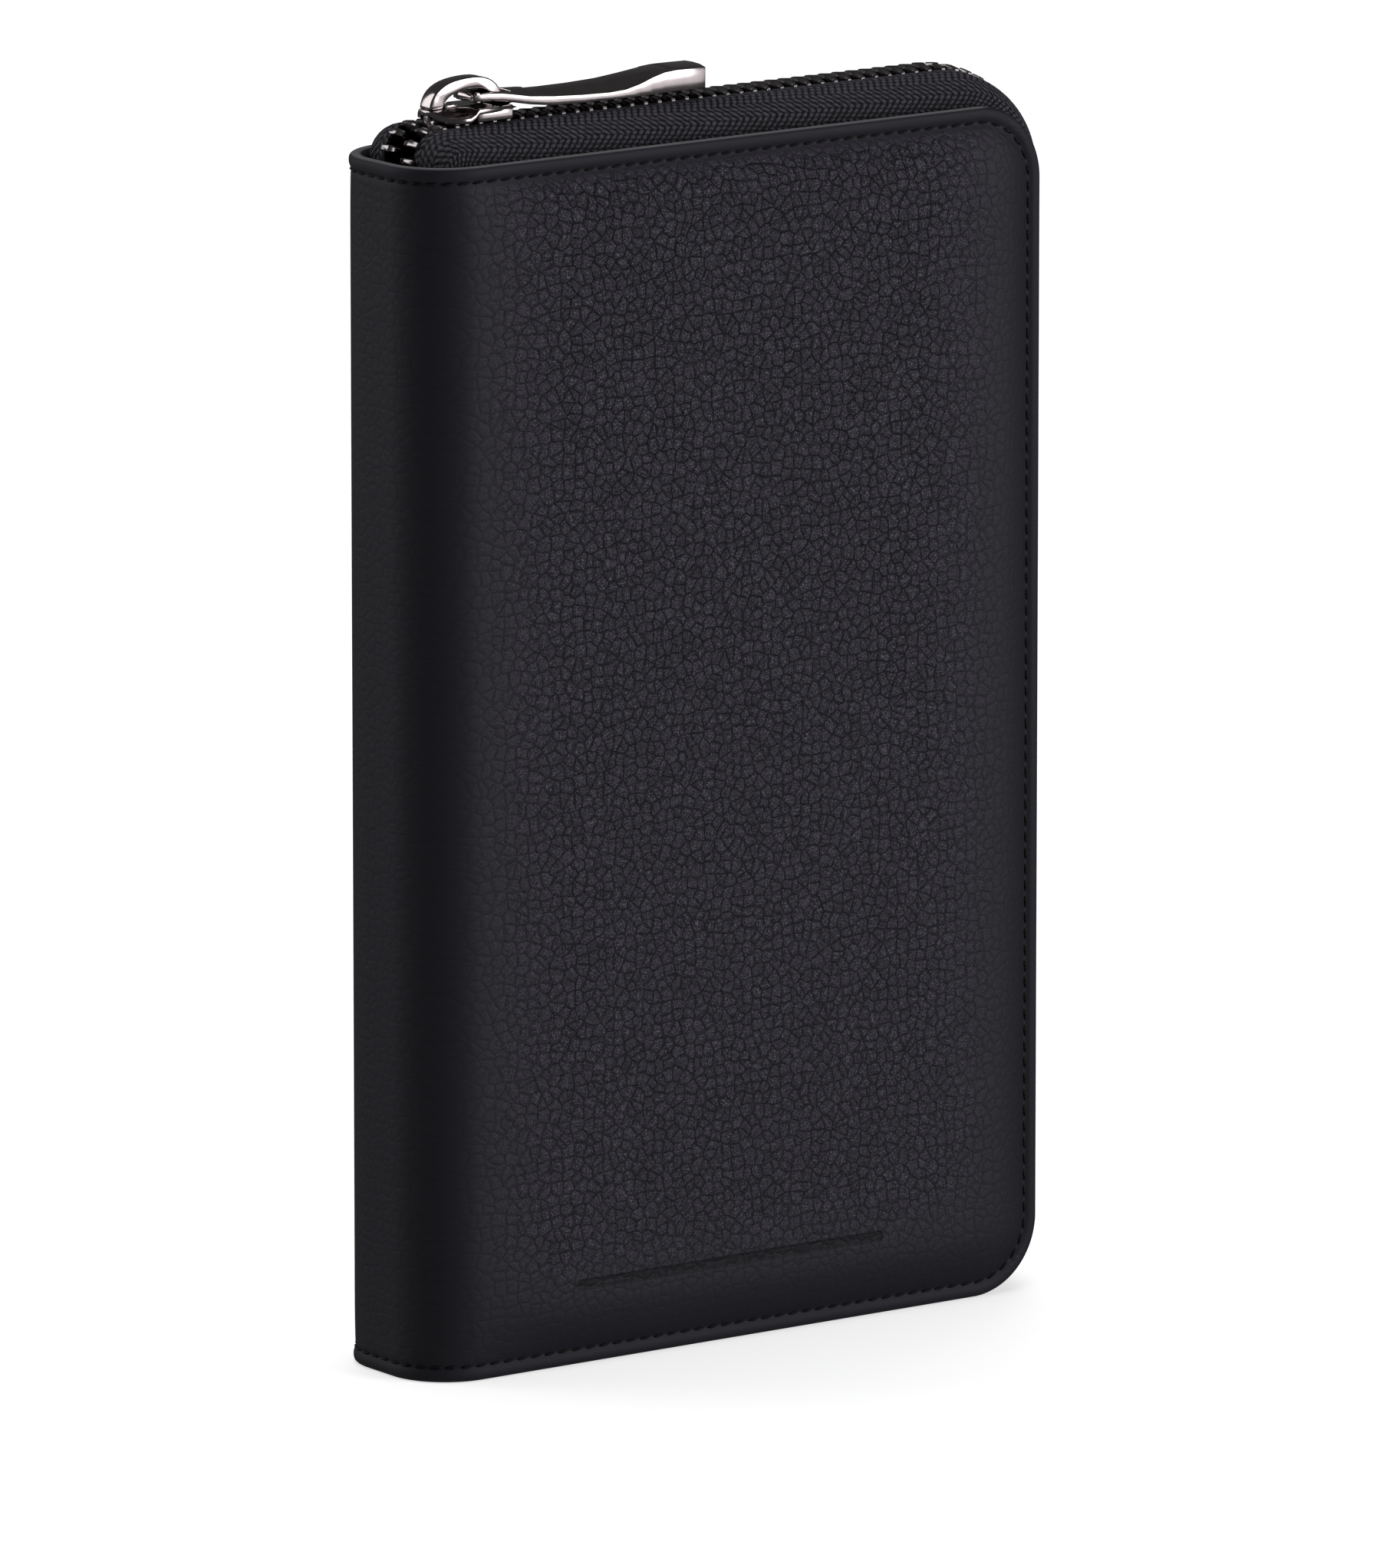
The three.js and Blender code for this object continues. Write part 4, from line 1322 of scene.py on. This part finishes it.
class ORGANIZER_OT_coin_compartment(bpy.types.Operator):
    """Make the zipped coin compartment that stands on the spine between the covers"""

    bl_idname = "organizer.coin_compartment"
    bl_label = "Coin Compartment"

    def execute(self, context):
        for name, side in SIDES.items():
            node = f"coin_pocket_{name}_panel"
            piece = tidy_panel(f"{node}_leather", node, 3.0)
            settle(piece, "calf", "spine", node)
            low, high = (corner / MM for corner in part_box(node))
            face = low.y if side < 0 else high.y
            top_left, *others = seam_corners(low, high)
            row = flat_seam(f"{node}_stitching", [*others, top_left], face, side)
            settle(row, "thread", "spine")
            self.zip_half(name, side)
        gusset = frame["nodes"]["coin_pocket_gusset"]
        dress(gusset, "lining", context.scene.organizer_colours)
        return {"FINISHED"}

    def zip_half(self, name, side):
        node = f"coin_zip_{name}_tape"
        tape = tidy_panel(f"{node}_cloth", node, 0.5, 0.15)
        settle(tape, "lining", "spine", node)
        node = f"coin_zip_{name}_teeth"
        low, high = (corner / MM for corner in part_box(node))
        pitch = 2.4
        x = np.arange(low.x + (0 if side < 0 else pitch / 2), high.x, pitch) * MM
        z = np.full_like(x, (low.z + high.z) / 2 * MM)
        chain, outward = np.stack([x, z], -1), np.stack([0 * x, 1 + 0 * x], -1)
        parting = 0.5 * MM * ease((-52 * MM - x) / (3 * MM))
        frames = chain_frames(chain, outward, parting, side)
        teeth = copies(f"{node}_metal", tooth_template(1.1, 2.1, 1.7, 0.3), frames)
        smooth(teeth, 30)
        settle(teeth, "teeth", "spine", node)


class ORGANIZER_OT_coin_slider(bpy.types.Operator):
    """Make the coin zip's slider and its small puller"""

    bl_idname = "organizer.coin_slider"
    bl_label = "Coin Slider"

    def execute(self, context):
        for node, body, bevel in (
            ("coin_slider_body", "coin_slider", 0.22),
            ("coin_slider_bridge", "coin_slider", 0.2),
            ("coin_zip_puller", "coin_puller", 0.2),
        ):
            focus(frame["nodes"][node])
            bpy.ops.object.duplicate()
            piece = bpy.context.object
            piece.parent = None
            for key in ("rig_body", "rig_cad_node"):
                del piece[key]  # a copy isn't the frame's own node
            piece.name = piece.data.name = f"{node}_metal"
            with editing(piece):
                bpy.ops.mesh.select_all(action="SELECT")
                bpy.ops.mesh.remove_doubles(threshold=0.01 * MM)
                bpy.ops.mesh.dissolve_limited(angle_limit=math.radians(2))
            soften(piece, bevel * MM, 2, 30)
            smooth(piece, 35)
            settle(piece, "metal", body, node)
        return {"FINISHED"}


# ---- Stage ----


class ORGANIZER_OT_stage(bpy.types.Operator):
    """Make the pale floor, the soft studio light and the camera"""

    bl_idname = "organizer.stage"
    bl_label = "Stage"

    AZIMUTH = math.radians(-35.83)
    ELEVATION = math.radians(11.64)
    DISTANCE = 3.071
    AIM = Vector((-3.0, 0, 110)) * MM
    SHIFT_RIGHT, SHIFT_UP = 2.13 * MM, -10.21 * MM

    def execute(self, context):
        self.floor()
        self.lights(context)
        self.camera(context)
        context.scene.view_settings.view_transform = "Standard"
        return {"FINISHED"}

    def floor(self):
        finish = Finish("pale_floor", Base_Color=(0.86, 0.86, 0.86), Roughness=0.3)
        finish.set(Emission_Color=(1, 1, 1), Emission_Strength=0.56)
        floor = primitive("floor", bpy.ops.mesh.primitive_plane_add, size=12)
        floor.data.materials.append(finish.material)
        floor.visible_glossy = False

    def lights(self, context):
        world = bpy.data.worlds.new("studio")
        world.use_nodes = True
        background = world.node_tree.nodes["Background"]
        background.inputs["Color"].default_value = (1, 1, 1, 1)
        background.inputs["Strength"].default_value = 0.07
        context.scene.world = world
        over = Vector((-math.sin(self.AZIMUTH), math.cos(self.AZIMUTH), 0)) * 0.75
        # Each softbox's name, place, aim, size and power.
        softboxes = (
            ("overhead", over + Vector((0, 0, 1.9)), over, (1.5, 3.2), 36),
            ("key", Vector((0.80, -1.25, 0.60)), Vector((-0.003, 0, 0.31)), (0.6, 1.05), 11.9),
            ("side", Vector((-1.0, 1.15, 0.8)), Vector((-0.003, 0, 0.41)), (0.8, 1.3), 8.5),
            ("low", Vector((0.44, -0.62, 0.13)), Vector((0, 0, 0.16)), (0.42, 0.2), 0.38),
        )
        for name, place, aim, size, power in softboxes:
            data = bpy.data.lights.new(name, "AREA")
            data.shape, data.energy = "RECTANGLE", power
            data.size, data.size_y = size
            light = bpy.data.objects.new(name, data)
            towards = aim - place
            turn = towards.to_track_quat("-Z", "Y").to_matrix()
            if name == "overhead":
                turn = Matrix.Rotation(self.AZIMUTH, 3, "Z")
                light.visible_glossy = False
            light.matrix_world = Matrix.Translation(place) @ turn.to_4x4()
            context.scene.collection.objects.link(light)

    def camera(self, context):
        right = Vector((math.cos(self.AZIMUTH), math.sin(self.AZIMUTH), 0))
        back = Vector((
            math.sin(self.AZIMUTH) * math.cos(self.ELEVATION),
            -math.cos(self.AZIMUTH) * math.cos(self.ELEVATION),
            math.sin(self.ELEVATION),
        ))
        up = back.cross(right)
        data = bpy.data.cameras.new("camera")
        data.sensor_width, data.lens = 36, 391.3
        data.clip_end = 50
        camera = bpy.data.objects.new("camera", data)
        place = self.AIM + right * self.SHIFT_RIGHT + up * self.SHIFT_UP + back * self.DISTANCE
        basis = Matrix((right, up, back)).transposed().to_4x4()
        camera.matrix_world = Matrix.Translation(place) @ basis
        context.scene.collection.objects.link(camera)
        context.scene.camera = camera


OPERATORS = (
    ORGANIZER_OT_stage,
    ORGANIZER_OT_leather,
    ORGANIZER_OT_stitching,
    ORGANIZER_OT_linings,
    ORGANIZER_OT_padding,
    ORGANIZER_OT_zip_tapes,
    ORGANIZER_OT_zip_teeth,
    ORGANIZER_OT_slider,
    ORGANIZER_OT_puller,
    ORGANIZER_OT_pockets,
    ORGANIZER_OT_pen_loop,
    ORGANIZER_OT_coin_compartment,
    ORGANIZER_OT_coin_slider,
)


class ORGANIZER_PT_panel(bpy.types.Panel):
    """Lists the organizer's pieces"""

    bl_idname = "ORGANIZER_PT_panel"
    bl_label = "Travel Document Organizer"
    bl_space_type = "VIEW_3D"
    bl_region_type = "UI"
    bl_category = "Organizer"

    def draw(self, context):
        for group in (context.scene.organizer_sizes, context.scene.organizer_colours):
            for key in type(group).__annotations__:
                self.layout.prop(group, key)
        for operator in OPERATORS:
            self.layout.operator(operator.bl_idname)


CLASSES = (OrganizerSizes, OrganizerColours, *OPERATORS, ORGANIZER_PT_panel)


def register():
    for made in CLASSES:
        bpy.utils.register_class(made)
    bpy.types.Scene.organizer_sizes = PointerProperty(type=OrganizerSizes)
    bpy.types.Scene.organizer_colours = PointerProperty(type=OrganizerColours)


def unregister():
    del bpy.types.Scene.organizer_sizes
    del bpy.types.Scene.organizer_colours
    for made in reversed(CLASSES):
        bpy.utils.unregister_class(made)


def main():
    register()
    for operator in OPERATORS:
        group, name = operator.bl_idname.split(".")
        getattr(getattr(bpy.ops, group), name)()


if __name__ == "__main__":
    main()
